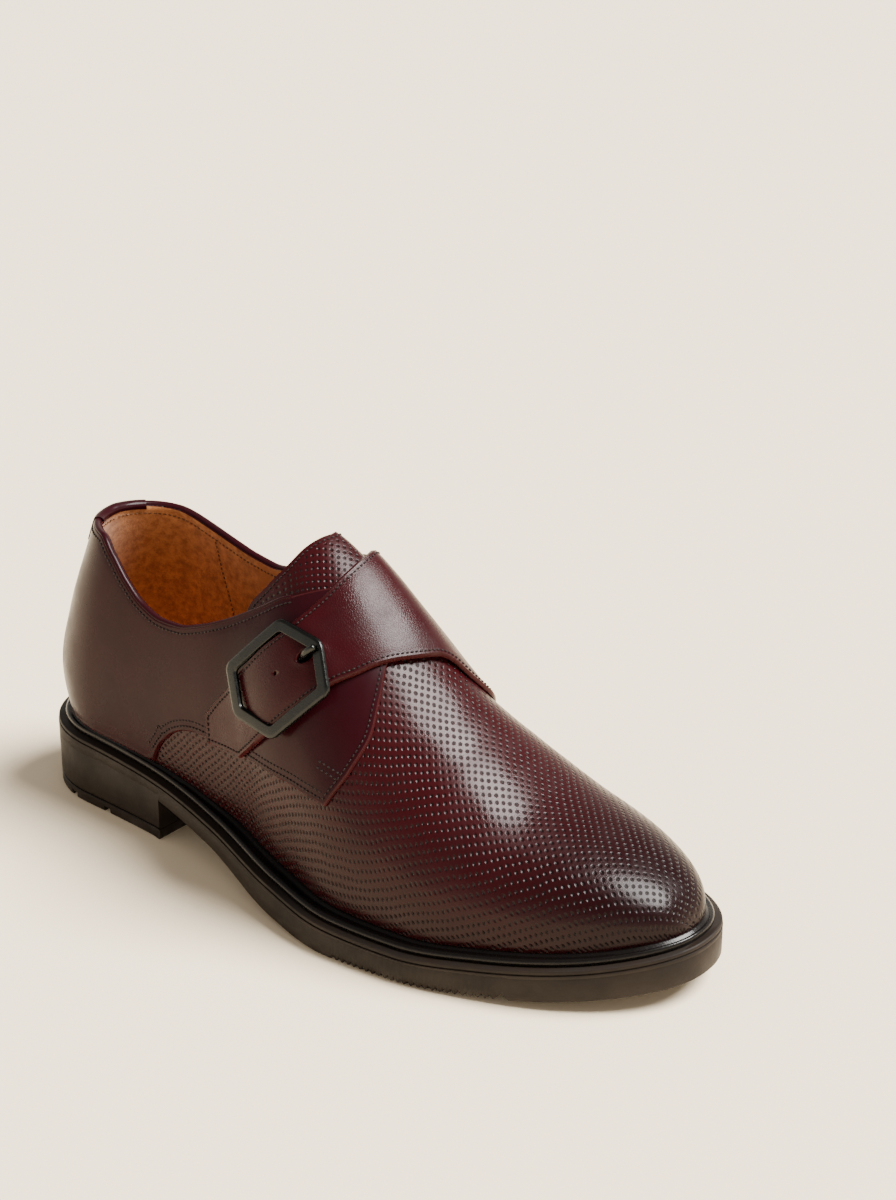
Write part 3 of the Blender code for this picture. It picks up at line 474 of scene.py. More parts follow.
# Patterns cut flat and laid on the last

pattern = {
    "columns": 150,
    "rows": 130,
    "edgeStep": 0.0018,
    "rings": (0.0005, 0.0010, 0.0018, 0.0028, 0.0040),
    "extraClear": 0.0012,  # least way from the buckle's finer points to the grid's
    "lineClear": 0.4,  # least way from a run's end to the grid's lines, in their own steps
}
girthScale = 0.45 * sole["length"]


def toFlat(spacing, girth):
    return np.stack([np.asarray(spacing) * sole["length"], np.asarray(girth) * girthScale], axis=-1)


def softRun(points, step):  # without its last point
    flat = toFlat([point[0] for point in points], [point[1] for point in points])
    lengths = pathLengths(flat)
    pieces = max(1, round(lengths[-1] / step))
    places = np.linspace(0.0, lengths[-1], pieces + 1)[:-1]
    return np.stack([smooth(lengths, flat[:, 0], places), smooth(lengths, flat[:, 1], places)], axis=1)


def isInside(points, outline):
    inside = np.zeros(len(points), bool)
    for (ax, ay), (bx, by) in zip(outline, np.roll(outline, 1, axis=0)):
        crosses = (ay > points[:, 1]) != (by > points[:, 1])
        rise = by - ay if by != ay else 1.0
        inside ^= crosses & (points[:, 0] < (bx - ax) * (points[:, 1] - ay) / rise + ax)
    return inside


def edgeDistance(points, outline):
    ahead = np.roll(outline, -1, axis=0) - outline
    length = np.maximum((ahead ** 2).sum(axis=1), 1e-14)
    found = []
    for chunk in np.array_split(points, max(1, len(points) // 1500)):
        part = ((chunk[:, None] - outline) * ahead).sum(axis=2) / length
        nearest = outline + np.clip(part, 0.0, 1.0)[..., None] * ahead
        found.append(np.linalg.norm(chunk[:, None] - nearest, axis=2).min(axis=1))
    return np.concatenate(found)


def awayFrom(grid, points, distance):  # only the grid's points in the given ones' box are measured
    low, high = points.min(axis=0) - 0.001, points.max(axis=0) + 0.001
    tree = KDTree(len(points))
    for index, point in enumerate(points):
        tree.insert((*point, 0.0), index)
    tree.balance()
    apart = np.ones(len(grid), bool)
    for index in np.flatnonzero(((grid > low) & (grid < high)).all(axis=1)):
        apart[index] = tree.find((*grid[index], 0.0))[2] > distance
    return grid[apart]


def cutPattern(runs, rings=(), extra=None):
    outline = np.vstack([softRun(run, pattern["edgeStep"]) for run in runs])
    spacings = np.linspace(0.0, 1.0, pattern["columns"] + 1)
    girths = np.linspace(-1.0, 1.0, pattern["rows"] + 1)
    grid = toFlat(*(part.ravel() for part in np.meshgrid(spacings, girths)))
    parts = [outline]
    clear = 0.45 * pattern["edgeStep"]
    ahead = np.roll(outline, -1, axis=0)
    turning = np.sign((outline[:, 0] * ahead[:, 1] - outline[:, 1] * ahead[:, 0]).sum())
    for distance in rings:
        ring = insetRing(outline, turning * distance)
        ring = ring[isInside(ring, outline)]
        parts.append(ring[edgeDistance(ring, outline) > 0.85 * distance])
        clear = distance + 0.5 * pattern["edgeStep"]
    if extra is not None:
        extra = extra[isInside(extra, outline)]
        extra = extra[edgeDistance(extra, outline) > clear]
        parts.append(extra)
        grid = awayFrom(grid, extra, pattern["extraClear"])
    grid = grid[isInside(grid, outline)]
    parts.append(grid[edgeDistance(grid, outline) > clear])
    points = [Vector(point) for point in np.vstack(parts)]
    result = delaunay_2d_cdt(points, [], [list(range(len(outline)))], 1, 1e-8)
    flat = np.array([tuple(point) for point in result[0]])
    return flat[:, 0] / sole["length"], flat[:, 1] / girthScale, [tuple(face) for face in result[2]]


def bySpacing(run):
    return [(float(spacingOf(share)), girth) for share, girth in run]


def girthAt(spacing, height):  # girth of the last's side at a height over the sole
    level = last["cheek"] * column(lastTable, 3, lastX(spacing) / sole["length"])
    return 1 - (1 - last["widestGirth"]) * np.clip(height / level, 0.0, 0.9)


def gridStops(start, end, first, count):  # the grid's lines on the way, with both ends
    lines = np.linspace(first, 1.0, count + 1)
    margin = pattern["lineClear"] / count
    inner = lines[(lines > min(start, end) + margin) & (lines < max(start, end) - margin)]
    return (start, *(inner if end > start else inner[::-1]), end)


def exactRuns(points):
    return list(zip(points[:-1], points[1:]))


def seamRuns(spacing, start, end):
    return exactRuns([(spacing, girth) for girth in gridStops(start, end, -1.0, pattern["rows"])])


def footRuns(side, start, end, height=0.0):
    stops = gridStops(start, end, 0.0, pattern["columns"])
    return exactRuns([(spacing, side * float(girthAt(spacing, height))) for spacing in stops])


def collarRun(side, backSpacing, rowsKept=len(collarTable)):
    index = 1 if side < 0 else 2
    points = [(backSpacing, side * collarBack)]
    return points + [(float(spacingOf(row[0])), side * row[index]) for row in collarTable[:rowsKept]]


def liftedPoints(spacing, girth, lift):  # on the last, raised along its normals
    return lastPoint(spacing, girth) + lastNormal(spacing, girth) * lift(spacing, girth)[:, None]


def setToEdge(mesh, edge=None):  # the way to the raw edge, far off on a piece without one
    values = np.full(len(mesh.vertices), 0.01) if edge is None else edge
    mesh.attributes.new("toEdge", "FLOAT", "POINT").data.foreach_set("value", values)


def hideLayers(mesh, spacing, girth, edge=None):  # the hide's own lengths as a UV map
    uv = onHide(spacing, girth)
    layer = mesh.uv_layers.new(name="hide")
    loops = np.empty(len(mesh.loops), np.int32)
    mesh.loops.foreach_get("vertex_index", loops)
    layer.data.foreach_set("uv", uv[loops].ravel())
    setToEdge(mesh, edge)


def leatherPiece(name, runs, lift, thickness, material, replaced, extra=None):
    # an overlay with a rounded cut edge; lift is its underside's height over the last
    spacing, girth, faces = cutPattern(runs, pattern["rings"], extra)
    base = lastPoint(spacing, girth)
    normal = lastNormal(spacing, girth)
    links = {(face[k], face[(k + 1) % len(face)]) for face in faces for k in range(len(face))}
    border = [(a, b) for a, b in links if (b, a) not in links]
    tree = KDTree(3 * len(border))
    for index, (a, b) in enumerate(border):
        for step in range(3):
            tree.insert(base[a] + (base[b] - base[a]) * step / 3, 3 * index + step)
    tree.balance()
    edge = np.array([tree.find(point)[2] for point in base])
    rounding = np.clip(1 - edge / leather["edgeRound"], 0.0, 1.0)
    under = lift(spacing, girth)
    least = leather["edgeHeight"]
    over = under + thickness * (least + (1 - least) * np.sqrt(1 - rounding ** 2))
    depth, halfWidth = leather["stitchGroove"]
    groove = depth * np.exp(-((edge - leather["stitchInset"]) / halfWidth) ** 2)
    outer = base + normal * (over - groove)[:, None]
    inner = base + normal * under[:, None]
    count = len(base)
    faces = list(faces) + [tuple(count + corner for corner in reversed(face)) for face in faces]
    faces += [(b, a, a + count, b + count) for a, b in border]
    mesh = tidyMesh(name, np.vstack([outer, inner]), faces, 48, merge=0)
    hideLayers(mesh, np.tile(spacing, 2), np.tile(girth, 2), np.tile(edge, 2))
    return addPiece(name, mesh, [material], replaced)


# Buckle's own directions

buckle = {
    "share": 0.4785,
    "girth": -0.480,
    "strapDegrees": 45,
    "reach": 0.0257,
    "width": 0.0046,
    "thickness": 0.0021,
    "level": 0.0032,
    "bow": 0.0010,
    "cornerRound": 0.0030,
    "corners": ((102.4, 0.85), (48.4, 0.955), (4.2, 1.00)),
    "frameDrop": 0.0018,  # the frame hangs this far below the bar's middle
    "skew": 0.05,
    "hole": (0.0138, 0.0064, 0.0042),  # from the bar, length and width
    "spareHole": (0.0004, 0.0017),
    "prongRadius": 0.00122,
}
buckleSpacing = float(spacingOf(buckle["share"]))
buckleOrigin = lastPoint(buckleSpacing, buckle["girth"])
buckleNormal = lastNormal(np.array([buckleSpacing]), np.array([buckle["girth"]]))[0]
forward = np.array([1.0, 0.0, 0.0]) - buckleNormal * buckleNormal[0]
forward /= np.linalg.norm(forward)
upward = np.cross(buckleNormal, forward)
upward *= np.sign(upward[2])
turnBy = math.radians(buckle["strapDegrees"])
crownward = math.cos(turnBy) * forward + math.sin(turnBy) * upward
crosswise = math.sin(turnBy) * forward - math.cos(turnBy) * upward


def overBuckle(*place):  # along and across the strap, and height over the last
    parts = np.broadcast_arrays(*(np.asarray(part, float) for part in place))
    along, across, height = (part[..., None] for part in parts)
    return buckleOrigin + along * crownward + across * crosswise + height * buckleNormal


quarterTop = leather["layerGap"] + leather["quarter"]
strapBase = quarterTop + leather["strapGap"]


strapShape = {
    "climb": (0.24, 0.32),  # girth where the strap starts to rise over the outer quarter, and the span
    "bulge": (0.0021, 0.0158),  # height and half width under the frame
    "bulgeReach": (0.0240, 0.0185),  # along the strap, behind the bar and ahead of it
    "bulgePower": 6,
    "ridge": (0.0016, 0.0060, 0.0045),  # over the prong: height, half width and the fall at its sides
    "ridgeEnd": (0.0240, 0.012),  # where it ends along the strap, and its fade
    "rim": (0.00035, 0.0029, 0.0008),  # round the hole: height, radius and half width
    "rimStretch": 1.5,
    "buckleGirth": -0.2,  # all of that lies on the buckle's side of this girth
}


def strapLift(spacing, girth):
    start, span = strapShape["climb"]
    climb = ease((start - girth) / span)
    point = lastPoint(spacing, girth) - buckleOrigin
    along, across = point @ crownward, point @ crosswise
    aside = across - buckle["skew"] * along
    height, halfWidth = strapShape["bulge"]
    reach = np.where(along < 0, *strapShape["bulgeReach"])
    power = strapShape["bulgePower"]
    bulge = height * (np.exp(-(along / reach) ** power) * np.exp(-(across / halfWidth) ** power))
    height, halfWidth, fall = strapShape["ridge"]
    end, fade = strapShape["ridgeEnd"]
    ridge = height * (ease((halfWidth - np.abs(aside)) / fall) * ease((end - along) / fade))
    height, radius, halfWidth = strapShape["rim"]
    fromHole = np.hypot((along - buckle["hole"][0]) / strapShape["rimStretch"], aside)
    rim = height * np.exp(-((fromHole - radius) / halfWidth) ** 2)
    swell = (np.maximum(bulge, ridge * (along > 0)) + rim) * (girth < strapShape["buckleGirth"])
    return leather["layerGap"] + (strapBase - leather["layerGap"]) * climb + swell


def evenLift(height):
    return lambda spacing, girth: np.full(len(spacing), height)


quarterLift = evenLift(leather["layerGap"])


def buckleLattice(step=0.0011, reach=0.024):
    small = 0.002
    middle = np.array([buckleSpacing, buckle["girth"]])
    moved = (lastPoint(*(middle[:, None] + small * np.eye(2))) - buckleOrigin) / small
    turn = np.linalg.inv(moved @ np.stack([crownward, crosswise], axis=1))
    steps = np.arange(-round(reach / step), round(reach / step) + 1) * step
    along, across = (part.ravel() for part in np.meshgrid(steps, steps))
    spacing, girth = (np.stack([along, across], axis=1) @ turn).T
    return toFlat(buckleSpacing + spacing, buckle["girth"] + girth)


# Materials

def node(tree, kind, inputs=None, **settings):
    item = tree.nodes.new(kind)
    for key, value in settings.items():
        setattr(item, key, value)
    for key, value in (inputs or {}).items():
        socket = item.inputs[key]
        if isinstance(value, bpy.types.NodeSocket):
            tree.links.new(value, socket)
        else:
            socket.default_value = value
    return item


def mixColour(tree, factor, first, second, blend="MIX"):
    item = node(tree, "ShaderNodeMix", {0: factor, 6: first, 7: second}, data_type="RGBA", blend_type=blend)
    return item.outputs[2]


def mapTo(tree, value, low, high, start=0.0, end=1.0, kind="SMOOTHSTEP"):
    return node(tree, "ShaderNodeMapRange", {0: value, 1: low, 2: high, 3: start, 4: end},
                interpolation_type=kind).outputs[0]


def calc(tree, operation, first, second=0.0):
    return node(tree, "ShaderNodeMath", {0: first, 1: second}, operation=operation).outputs[0]


def noise(tree, place, scale, detail=4.0, roughness=0.55):
    return node(tree, "ShaderNodeTexNoise", {"Vector": place, "Scale": scale, "Detail": detail,
                                             "Roughness": roughness}).outputs[0]


def bumpOf(tree, height, strength, distance, normal=None):
    inputs = {"Height": height, "Strength": strength, "Distance": distance}
    if normal is not None:
        inputs["Normal"] = normal
    return node(tree, "ShaderNodeBump", inputs).outputs[0]


def vectorCalc(tree, operation, *values):
    return node(tree, "ShaderNodeVectorMath", dict(enumerate(values)), operation=operation).outputs


def plug(tree, shader, **sources):
    for key, source in sources.items():
        tree.links.new(source, shader.inputs[key.replace("_", " ")])


def startMaterial(name, **values):
    material = bpy.data.materials.new(name)
    material.use_nodes = True
    tree = material.node_tree
    shader = tree.nodes["Principled BSDF"]
    for key, value in values.items():
        shader.inputs[key.replace("_", " ")].default_value = value
    place = node(tree, "ShaderNodeTexCoord").outputs["Object"]
    return material, tree, shader, place


def colour(red, green, blue):
    return (red, green, blue, 1.0)


leatherLooks = {
    "vamp": {"base": colour(0.0250, 0.0023, 0.0034), "deep": colour(0.0048, 0.0009, 0.0013), "rough": 0.24,
             "shine": 0.125, "dots": True, "grain": 0.08},
    "quarter": {"base": colour(0.0185, 0.0020, 0.0039), "deep": colour(0.0100, 0.0014, 0.0027), "rough": 0.28,
                "shine": 0.075, "dots": False, "grain": 0.02},
    "strap": {"base": colour(0.0245, 0.0021, 0.0035), "deep": colour(0.0125, 0.0015, 0.0024), "rough": 0.27,
              "shine": 0.105, "dots": False, "grain": 0.26},
}
dots = {
    "pitch": 0.0037,
    "waver": 0.35,  # the lattice wanders by this share of its pitch
    "wall": (-0.10, 0.265),  # the pit rises between these ways from its middle, in pitches
    "paintedShadeCore": (0.115, 0.240),  # the painted shade in its core fades out between these
    "depth": 0.0006,
    "bump": 0.75,
    # how dark the painted shade in the pits' cores is
    "paintedShadeStrength": 0.72,
    "coreRough": 0.12,
}


def pinDots(tree):
    # a staggered lattice of round pits: its height, 0 in a pit, and its cores, where shade is painted dark
    hide = node(tree, "ShaderNodeUVMap", uv_map="hide").outputs[0]
    steps = vectorCalc(tree, "MULTIPLY", hide, (1 / dots["pitch"],) * 3)[0]
    waver = node(tree, "ShaderNodeTexNoise", {"Vector": steps, "Scale": 0.35, "Detail": 1.0}).outputs[1]
    half, flat = (0.5, 0.5, 0.5), (1.0, 1.0, 0.0)
    away = vectorCalc(tree, "SUBTRACT", waver, half)[0]
    steps = vectorCalc(tree, "MULTIPLY_ADD", away, (dots["waver"], dots["waver"], 0.0), steps)[0]
    steps = vectorCalc(tree, "MULTIPLY", steps, flat)[0]
    ways = []
    for offset in ((0.0, 0.0, 0.0), half):
        moved = vectorCalc(tree, "ADD", steps, offset)[0]
        wrapped = vectorCalc(tree, "WRAP", moved, half, (-0.5, -0.5, -0.5))[0]
        centred = vectorCalc(tree, "MULTIPLY", wrapped, flat)[0]
        ways.append(vectorCalc(tree, "LENGTH", centred)["Value"])
    nearest = calc(tree, "MINIMUM", *ways)
    return mapTo(tree, nearest, *dots["wall"]), mapTo(tree, nearest, *dots["paintedShadeCore"], 1.0, 0.0)


def leatherMaterial(name, look):
    material, tree, shader, place = startMaterial(
        name, Coat_Weight=0.04, Coat_Roughness=0.16, Specular_IOR_Level=look["shine"])
    toEdge = node(tree, "ShaderNodeAttribute", attribute_name="toEdge").outputs["Fac"]
    cloud = noise(tree, place, 22.0, 5.0)
    deepening = mapTo(tree, cloud, 0.42, 0.68)
    axes = node(tree, "ShaderNodeSeparateXYZ", {0: place})
    if look["dots"]:
        toeTip = mapTo(tree, axes.outputs[0], 0.055, 0.145)
        nearSole = mapTo(tree, axes.outputs[2], 0.045, 0.018)
        patina = calc(tree, "MAXIMUM", toeTip, calc(tree, "MULTIPLY", nearSole, 0.6))
        deepening = calc(tree, "MAXIMUM", calc(tree, "MULTIPLY", patina, 0.9),
                         calc(tree, "MULTIPLY", deepening, 0.35))
    else:
        deepening = calc(tree, "MULTIPLY", deepening, 0.5)
    base = mixColour(tree, deepening, look["base"], look["deep"])
    mottle = noise(tree, place, 260.0, 3.0)
    base = mixColour(tree, calc(tree, "MULTIPLY", mottle, 0.12), base, look["deep"])
    pores = node(tree, "ShaderNodeTexVoronoi", {"Vector": place, "Scale": 1150.0, "Randomness": 1.0},
                 feature="DISTANCE_TO_EDGE").outputs[0]
    pores = calc(tree, "MULTIPLY", mapTo(tree, pores, 0.0, 0.28), 0.6)
    grain = calc(tree, "ADD", pores, calc(tree, "MULTIPLY", noise(tree, place, 2100.0, 2.0), 0.5))
    finish = bumpOf(tree, grain, look["grain"], 0.0002)
    finish = bumpOf(tree, noise(tree, place, 45.0, 1.0), 0.07, 0.0012, finish)  # the hide's slackness
    rough = mapTo(tree, noise(tree, place, 90.0, 4.0), 0.3, 0.75, look["rough"] - 0.05, look["rough"] + 0.09)
    if look["dots"]:
        border = mapTo(tree, toEdge, 0.0046, 0.0038)  # the tongue's folded edge has no pits
        height, paintedShadeCore = pinDots(tree)
        height = calc(tree, "MAXIMUM", height, border)
        paintedShadeCore = calc(tree, "MULTIPLY", paintedShadeCore, calc(tree, "SUBTRACT", 1.0, border))
        finish = bumpOf(tree, height, dots["bump"], dots["depth"], finish)
        # painted shade: the pits' cores are darkened towards near black, where shade falls in them
        shade = calc(tree, "MULTIPLY", paintedShadeCore, dots["paintedShadeStrength"])
        base = mixColour(tree, shade, base, colour(0.0018, 0.0008, 0.0009))
        rough = calc(tree, "ADD", rough, calc(tree, "MULTIPLY", paintedShadeCore, dots["coreRough"]))
    # the cut edge is painted lighter: partly the raw edge's own pinkish colour, partly a painted highlight
    # along its rim
    rawEdgeAndHighlight = mapTo(tree, toEdge, 0.0012, 0.0003)
    base = mixColour(tree, calc(tree, "MULTIPLY", rawEdgeAndHighlight, 0.5), base, colour(0.050, 0.010, 0.010))
    plug(tree, shader, Base_Color=base, Roughness=rough, Normal=finish)
    return material


def liningMaterial():
    material, tree, shader, place = startMaterial("lining_leather", Specular_IOR_Level=0.3, Sheen_Weight=0.25,
                                                  Sheen_Roughness=0.5)
    axes = node(tree, "ShaderNodeSeparateXYZ", {0: place})
    waver = calc(tree, "MULTIPLY", noise(tree, place, 35.0, 3.0), 0.008)
    suede = mapTo(tree, calc(tree, "ADD", axes.outputs[0], waver), -0.070, -0.068)
    nap = noise(tree, place, 330.0, 6.0, 0.7)
    smoothSide = mixColour(tree, noise(tree, place, 45.0, 5.0), colour(0.36, 0.125, 0.030),
                           colour(0.26, 0.082, 0.018))
    napSide = mixColour(tree, mapTo(tree, nap, 0.3, 0.7), colour(0.24, 0.080, 0.018),
                        colour(0.46, 0.190, 0.060))
    fuzz = calc(tree, "MULTIPLY", noise(tree, place, 1500.0, 3.0), mapTo(tree, suede, 0.0, 1.0, 1.0, 0.35))
    plug(tree, shader, Base_Color=mixColour(tree, suede, napSide, smoothSide),
         Roughness=mapTo(tree, suede, 0.0, 1.0, 0.85, 0.5), Normal=bumpOf(tree, fuzz, 0.4, 0.0004))
    return material


def rubberMaterial(name, light, dark, rough):
    material, tree, shader, place = startMaterial(name, Specular_IOR_Level=0.20)
    cloud = noise(tree, place, 55.0, 5.0)
    fine = noise(tree, place, 900.0, 3.0)
    tone = mixColour(tree, mapTo(tree, cloud, 0.35, 0.7), light, dark)
    tone = mixColour(tree, mapTo(tree, fine, 0.6, 0.8, 0.0, 0.18), tone, colour(0.026, 0.020, 0.015))
    low = node(tree, "ShaderNodeSeparateXYZ", {0: place}).outputs[2]
    dust = calc(tree, "MULTIPLY", mapTo(tree, low, 0.006, 0.0), mapTo(tree, cloud, 0.45, 0.65, 0.0, 0.35))
    tone = mixColour(tree, dust, tone, colour(0.11, 0.094, 0.077))
    plug(tree, shader, Base_Color=tone, Roughness=mapTo(tree, cloud, 0.3, 0.7, rough - 0.06, rough + 0.08),
         Normal=bumpOf(tree, fine, 0.25, 0.0003))
    return material


def threadMaterial(name, tone):
    material, tree, shader, place = startMaterial(name, Roughness=0.55, Specular_IOR_Level=0.3)
    twist = node(tree, "ShaderNodeTexWave", {"Vector": place, "Scale": 900.0, "Distortion": 3.0}).outputs[1]
    shade = mixColour(tree, twist, tone, colour(*(0.45 * part for part in tone[:3])))
    plug(tree, shader, Base_Color=shade, Normal=bumpOf(tree, twist, 0.5, 0.0002))
    return material


def metalMaterial():
    material, tree, shader, place = startMaterial("gunmetal", Metallic=1.0)
    brushed = node(tree, "ShaderNodeMapping", {0: place, 3: (60.0, 900.0, 900.0)}).outputs[0]
    lines = noise(tree, brushed, 1.0, 3.0)
    tone = mixColour(tree, noise(tree, place, 160.0, 4.0), colour(0.034, 0.0355, 0.034),
                     colour(0.022, 0.023, 0.0225))
    plug(tree, shader, Base_Color=tone, Roughness=mapTo(tree, lines, 0.3, 0.7, 0.23, 0.33),
         Normal=bumpOf(tree, lines, 0.06, 0.0002))
    return material


def floorMaterial():
    material, tree, shader, place = startMaterial("floor_cream", Roughness=0.75, Specular_IOR_Level=0.2)
    light = studio["floor"]
    tone = mixColour(tree, noise(tree, place, 6.0, 3.0), light, tuple(0.98 * part for part in light))
    plug(tree, shader, Base_Color=tone)
    return material


vampLeather = leatherMaterial("vamp_burgundy", leatherLooks["vamp"])
quarterLeather = leatherMaterial("quarter_burgundy", leatherLooks["quarter"])
strapLeather = leatherMaterial("strap_burgundy", leatherLooks["strap"])
liningLeather = liningMaterial()
soleTones = colour(0.0122, 0.0075, 0.0049), colour(0.0083, 0.0052, 0.0036)
weltTones = colour(0.0042, 0.0031, 0.0028), colour(0.0028, 0.0022, 0.0021)
soleRubber = rubberMaterial("sole_rubber", *soleTones, 0.55)
weltRubber = rubberMaterial("welt_black", *weltTones, 0.24)
darkThread = threadMaterial("thread_dark", colour(0.011, 0.0032, 0.0036))
tanThread = threadMaterial("thread_tan", colour(0.20, 0.085, 0.030))
gunmetal = metalMaterial()
print("materials mixed")


# Upper with its lining

def makeVamp():
    throat = (float(spacingOf(throatShare)), 0.0)
    runs = footRuns(-1.0, 0.0, 1.0) + seamRuns(1.0, -1.0, 1.0)
    runs += footRuns(1.0, 1.0, 0.0) + seamRuns(0.0, 1.0, collarBack)
    runs += [collarRun(1.0, 0.0) + [throat], [throat] + collarRun(-1.0, 0.0)[::-1]]
    runs += seamRuns(0.0, -collarBack, -1.0)
    spacing, girth, faces = cutPattern(runs)
    mesh = newMesh("vamp", liftedPoints(spacing, girth, creaseDepth), [], faces)
    hideLayers(mesh, spacing, girth)
    mended(mesh, 0.00002)
    mesh.shade_smooth()
    piece = addPiece("vamp", mesh, [vampLeather, liningLeather], "upper")
    shell = piece.modifiers.new("wall", "SOLIDIFY")
    shell.thickness = leather["wall"]
    shell.offset = -1.0
    shell.material_offset = 1
    thick = piece.vertex_groups.new(name="thick")
    for point in mesh.vertices:
        share = (toeWall["thinEnd"] - point.co.x) / toeWall["thinSpan"]
        thick.add([point.index], min(max(share, 0.0), 1.0), "REPLACE")
    shell.vertex_group = "thick"
    shell.thickness_vertex_group = 0.06
    bakeObject(piece)
    for face in piece.data.polygons:
        if face.center.x > toeWall["unlined"]:
            face.material_index = 0


toeWall = {  # world x; the wall thins where the toe's faces meet, out of sight inside
    "thinEnd": 0.140,
    "thinSpan": 0.012,
    "unlined": 0.12,
}

creases = {
    "rows": (  # share of length on the crown, lean to each side, half width and depth
        (0.655, 0.030, 0.0030, 0.00010),
        (0.690, 0.045, 0.0034, 0.00013),
        (0.728, 0.055, 0.0032, 0.00010),
    ),
    "waver": (0.0016, 9, 40),  # reach, and its phase by girth and by share of length
    "leanPower": 1.4,
    "fade": (0.62, 0.8),  # girth where a crease ends, and the power of its fading
    "ridge": (1.9, 0.7),  # place ahead of the trough in half widths, share of its depth
}


def creaseDepth(spacing, girth):
    x, size = lastX(spacing), np.abs(girth)
    reach, byGirth, byShare = creases["waver"]
    end, power = creases["fade"]
    ahead, height = creases["ridge"]
    depth = np.zeros_like(x)
    for share, lean, width, amount in creases["rows"]:
        waver = reach * np.sin(byGirth * girth + byShare * share)
        middle = (share - lean * size ** creases["leanPower"]) * sole["length"] + waver
        trough = np.exp(-((x - middle) / width) ** 2)
        ridge = np.exp(-((x - middle - ahead * width) / width) ** 2)
        depth += amount * np.clip(1 - size / end, 0.0, 1.0) ** power * (height * ridge - trough)
    return depth


makeVamp()
print("vamp lasted")


# Quarters, strap and tongue

def footPoint(share, side):  # where a quarter's edge reaches its foot
    spacing = float(spacingOf(share))
    return spacing, side * float(girthAt(spacing, leather["panelFoot"]))


def makeOuterQuarter():
    foot = leather["panelFoot"]
    corner = footPoint(lateralFootShare, -1.0)
    edge = [bySpacing(lateralFront), bySpacing(lateralBottom) + [corner]]
    runs = [collarRun(-1.0, backSeam) + [edge[0][0]]] + edge
    runs += footRuns(-1.0, corner[0], backSeam, foot)
    runs += seamRuns(backSeam, -float(girthAt(backSeam, foot)), -collarBack)
    leatherPiece("quarter_outer", runs, quarterLift, leather["quarter"], quarterLeather,
                 "quarter_lateral")


def makeInnerQuarter():
    foot = leather["panelFoot"]
    corner = footPoint(medialFootShare, 1.0)
    collar = collarRun(1.0, backSeam, medialCollarRows)[::-1]
    edge = [bySpacing(run) for run in (medialBottom, strapFront, strapEnd, strapSide, strapBack)]
    edge[0].insert(0, corner)
    edge[-1].append(collar[0])
    runs = footRuns(1.0, backSeam, corner[0], foot) + edge + [collar]
    runs += seamRuns(backSeam, collarBack, float(girthAt(backSeam, foot)))
    strap = leatherPiece("quarter_inner_and_strap", runs, strapLift, leather["strap"], strapLeather,
                         "quarter_medial", buckleLattice())
    along, length, width = buckle["hole"]
    spareAlong, spareWidth = buckle["spareHole"]
    cutHole(strap, (along, buckle["skew"] * along), (length, width))
    cutHole(strap, (spareAlong, 0.0), (spareWidth, spareWidth))


def cutHole(piece, place, size):
    turn = circleAngles(24)
    along, across = place[0] + size[0] / 2 * np.cos(turn), place[1] + size[1] / 2 * np.sin(turn)
    rings = [overBuckle(along, across, height) for height in (-0.004, 0.012)]
    count = len(turn)
    faces = [tuple(range(count)), tuple(range(count, 2 * count))]
    for index in range(count):
        after = (index + 1) % count
        faces.append((index, after, count + after, count + index))
    punch = newObject("punch", mended(tidyMesh("punch", np.vstack(rings), faces), outward=True))
    cut = piece.modifiers.new("hole", "BOOLEAN")
    cut.operation = "DIFFERENCE"
    cut.object = punch
    bakeObject(piece)
    bpy.data.objects.remove(punch)


def makeTongue():
    runs = [bySpacing(tongueTop), bySpacing(tongueRoot)]
    depth = leather["wall"] + leather["layerGap"] + leather["tongue"]
    leatherPiece("tongue_leather", runs, evenLift(-depth), leather["tongue"], vampLeather,
                 "tongue")


makeOuterQuarter()
makeInnerQuarter()
makeTongue()
print("quarters, strap and tongue laid")


# Collar binding and heel tab

binding = {
    "halfWidth": 0.0014,
    "halfHeight": 0.0010,
    "middle": 0.0002,  # between the wall's inside and the quarter's outside
    "drop": 0.0001,
    "sides": 12,
}


def surfaceWays(spacing, girth):  # the surface's own directions per unit of spacing and girth
    small = 0.001
    alongStep = (lastPoint(np.clip(spacing + small, 0, 1), girth)
                 - lastPoint(np.clip(spacing - small, 0, 1), girth))
    aroundStep = lastPoint(spacing, girth + small) - lastPoint(spacing, girth - small)
    span = np.clip(spacing + small, 0, 1) - np.clip(spacing - small, 0, 1)
    return alongStep / span[:, None], aroundStep / (2 * small)


def densePath(run, step=0.0012):
    flat = np.vstack([softRun(run, step), toFlat(*run[-1])])
    return flat[:, 0] / sole["length"], flat[:, 1] / girthScale


def collarPath():
    lateral = densePath(collarRun(-1.0, 0.0, collarRows[-1.0])[::-1])
    medial = densePath(collarRun(1.0, 0.0, collarRows[1.0]))
    return [np.concatenate([first, second[1:]]) for first, second in zip(lateral, medial)]


def makeBinding():
    spacing, girth = collarPath()
    points, normals = lastPoint(spacing, girth), lastNormal(spacing, girth)
    back = np.argmin(spacing)  # both sides share the back seam's normal
    normals[max(back - 3, 0):back + 4] = normals[max(back - 3, 0):back + 4].mean(axis=0)
    rise = np.cross(normals, unit(np.gradient(points, axis=0)))
    rise = unit(rise * np.where(rise[:, 2] < 0, -1.0, 1.0)[:, None])
    turn = circleAngles(binding["sides"])[:, None]
    out = binding["middle"] + binding["halfWidth"] * np.cos(turn)
    high = binding["halfHeight"] * np.sin(turn) - binding["drop"]
    sections = [point + out * normal + high * up for point, normal, up in zip(points, normals, rise)]
    mesh = mended(bandMesh("collar_binding", sections, closed=False, capped=True, sharp=80), outward=True)
    setToEdge(mesh)
    addPiece("collar_binding", mesh, [quarterLeather])


heelTab = {
    "halfWidth": 0.0135,
    "outside": 0.0115,  # way below the top line
    "inside": 0.0010,
    "thickness": 0.0011,
    "clear": 0.0004,  # from the quarter and from the lining
    "cornerRise": 0.22,  # share of its outer length that the lower corners stand higher
}


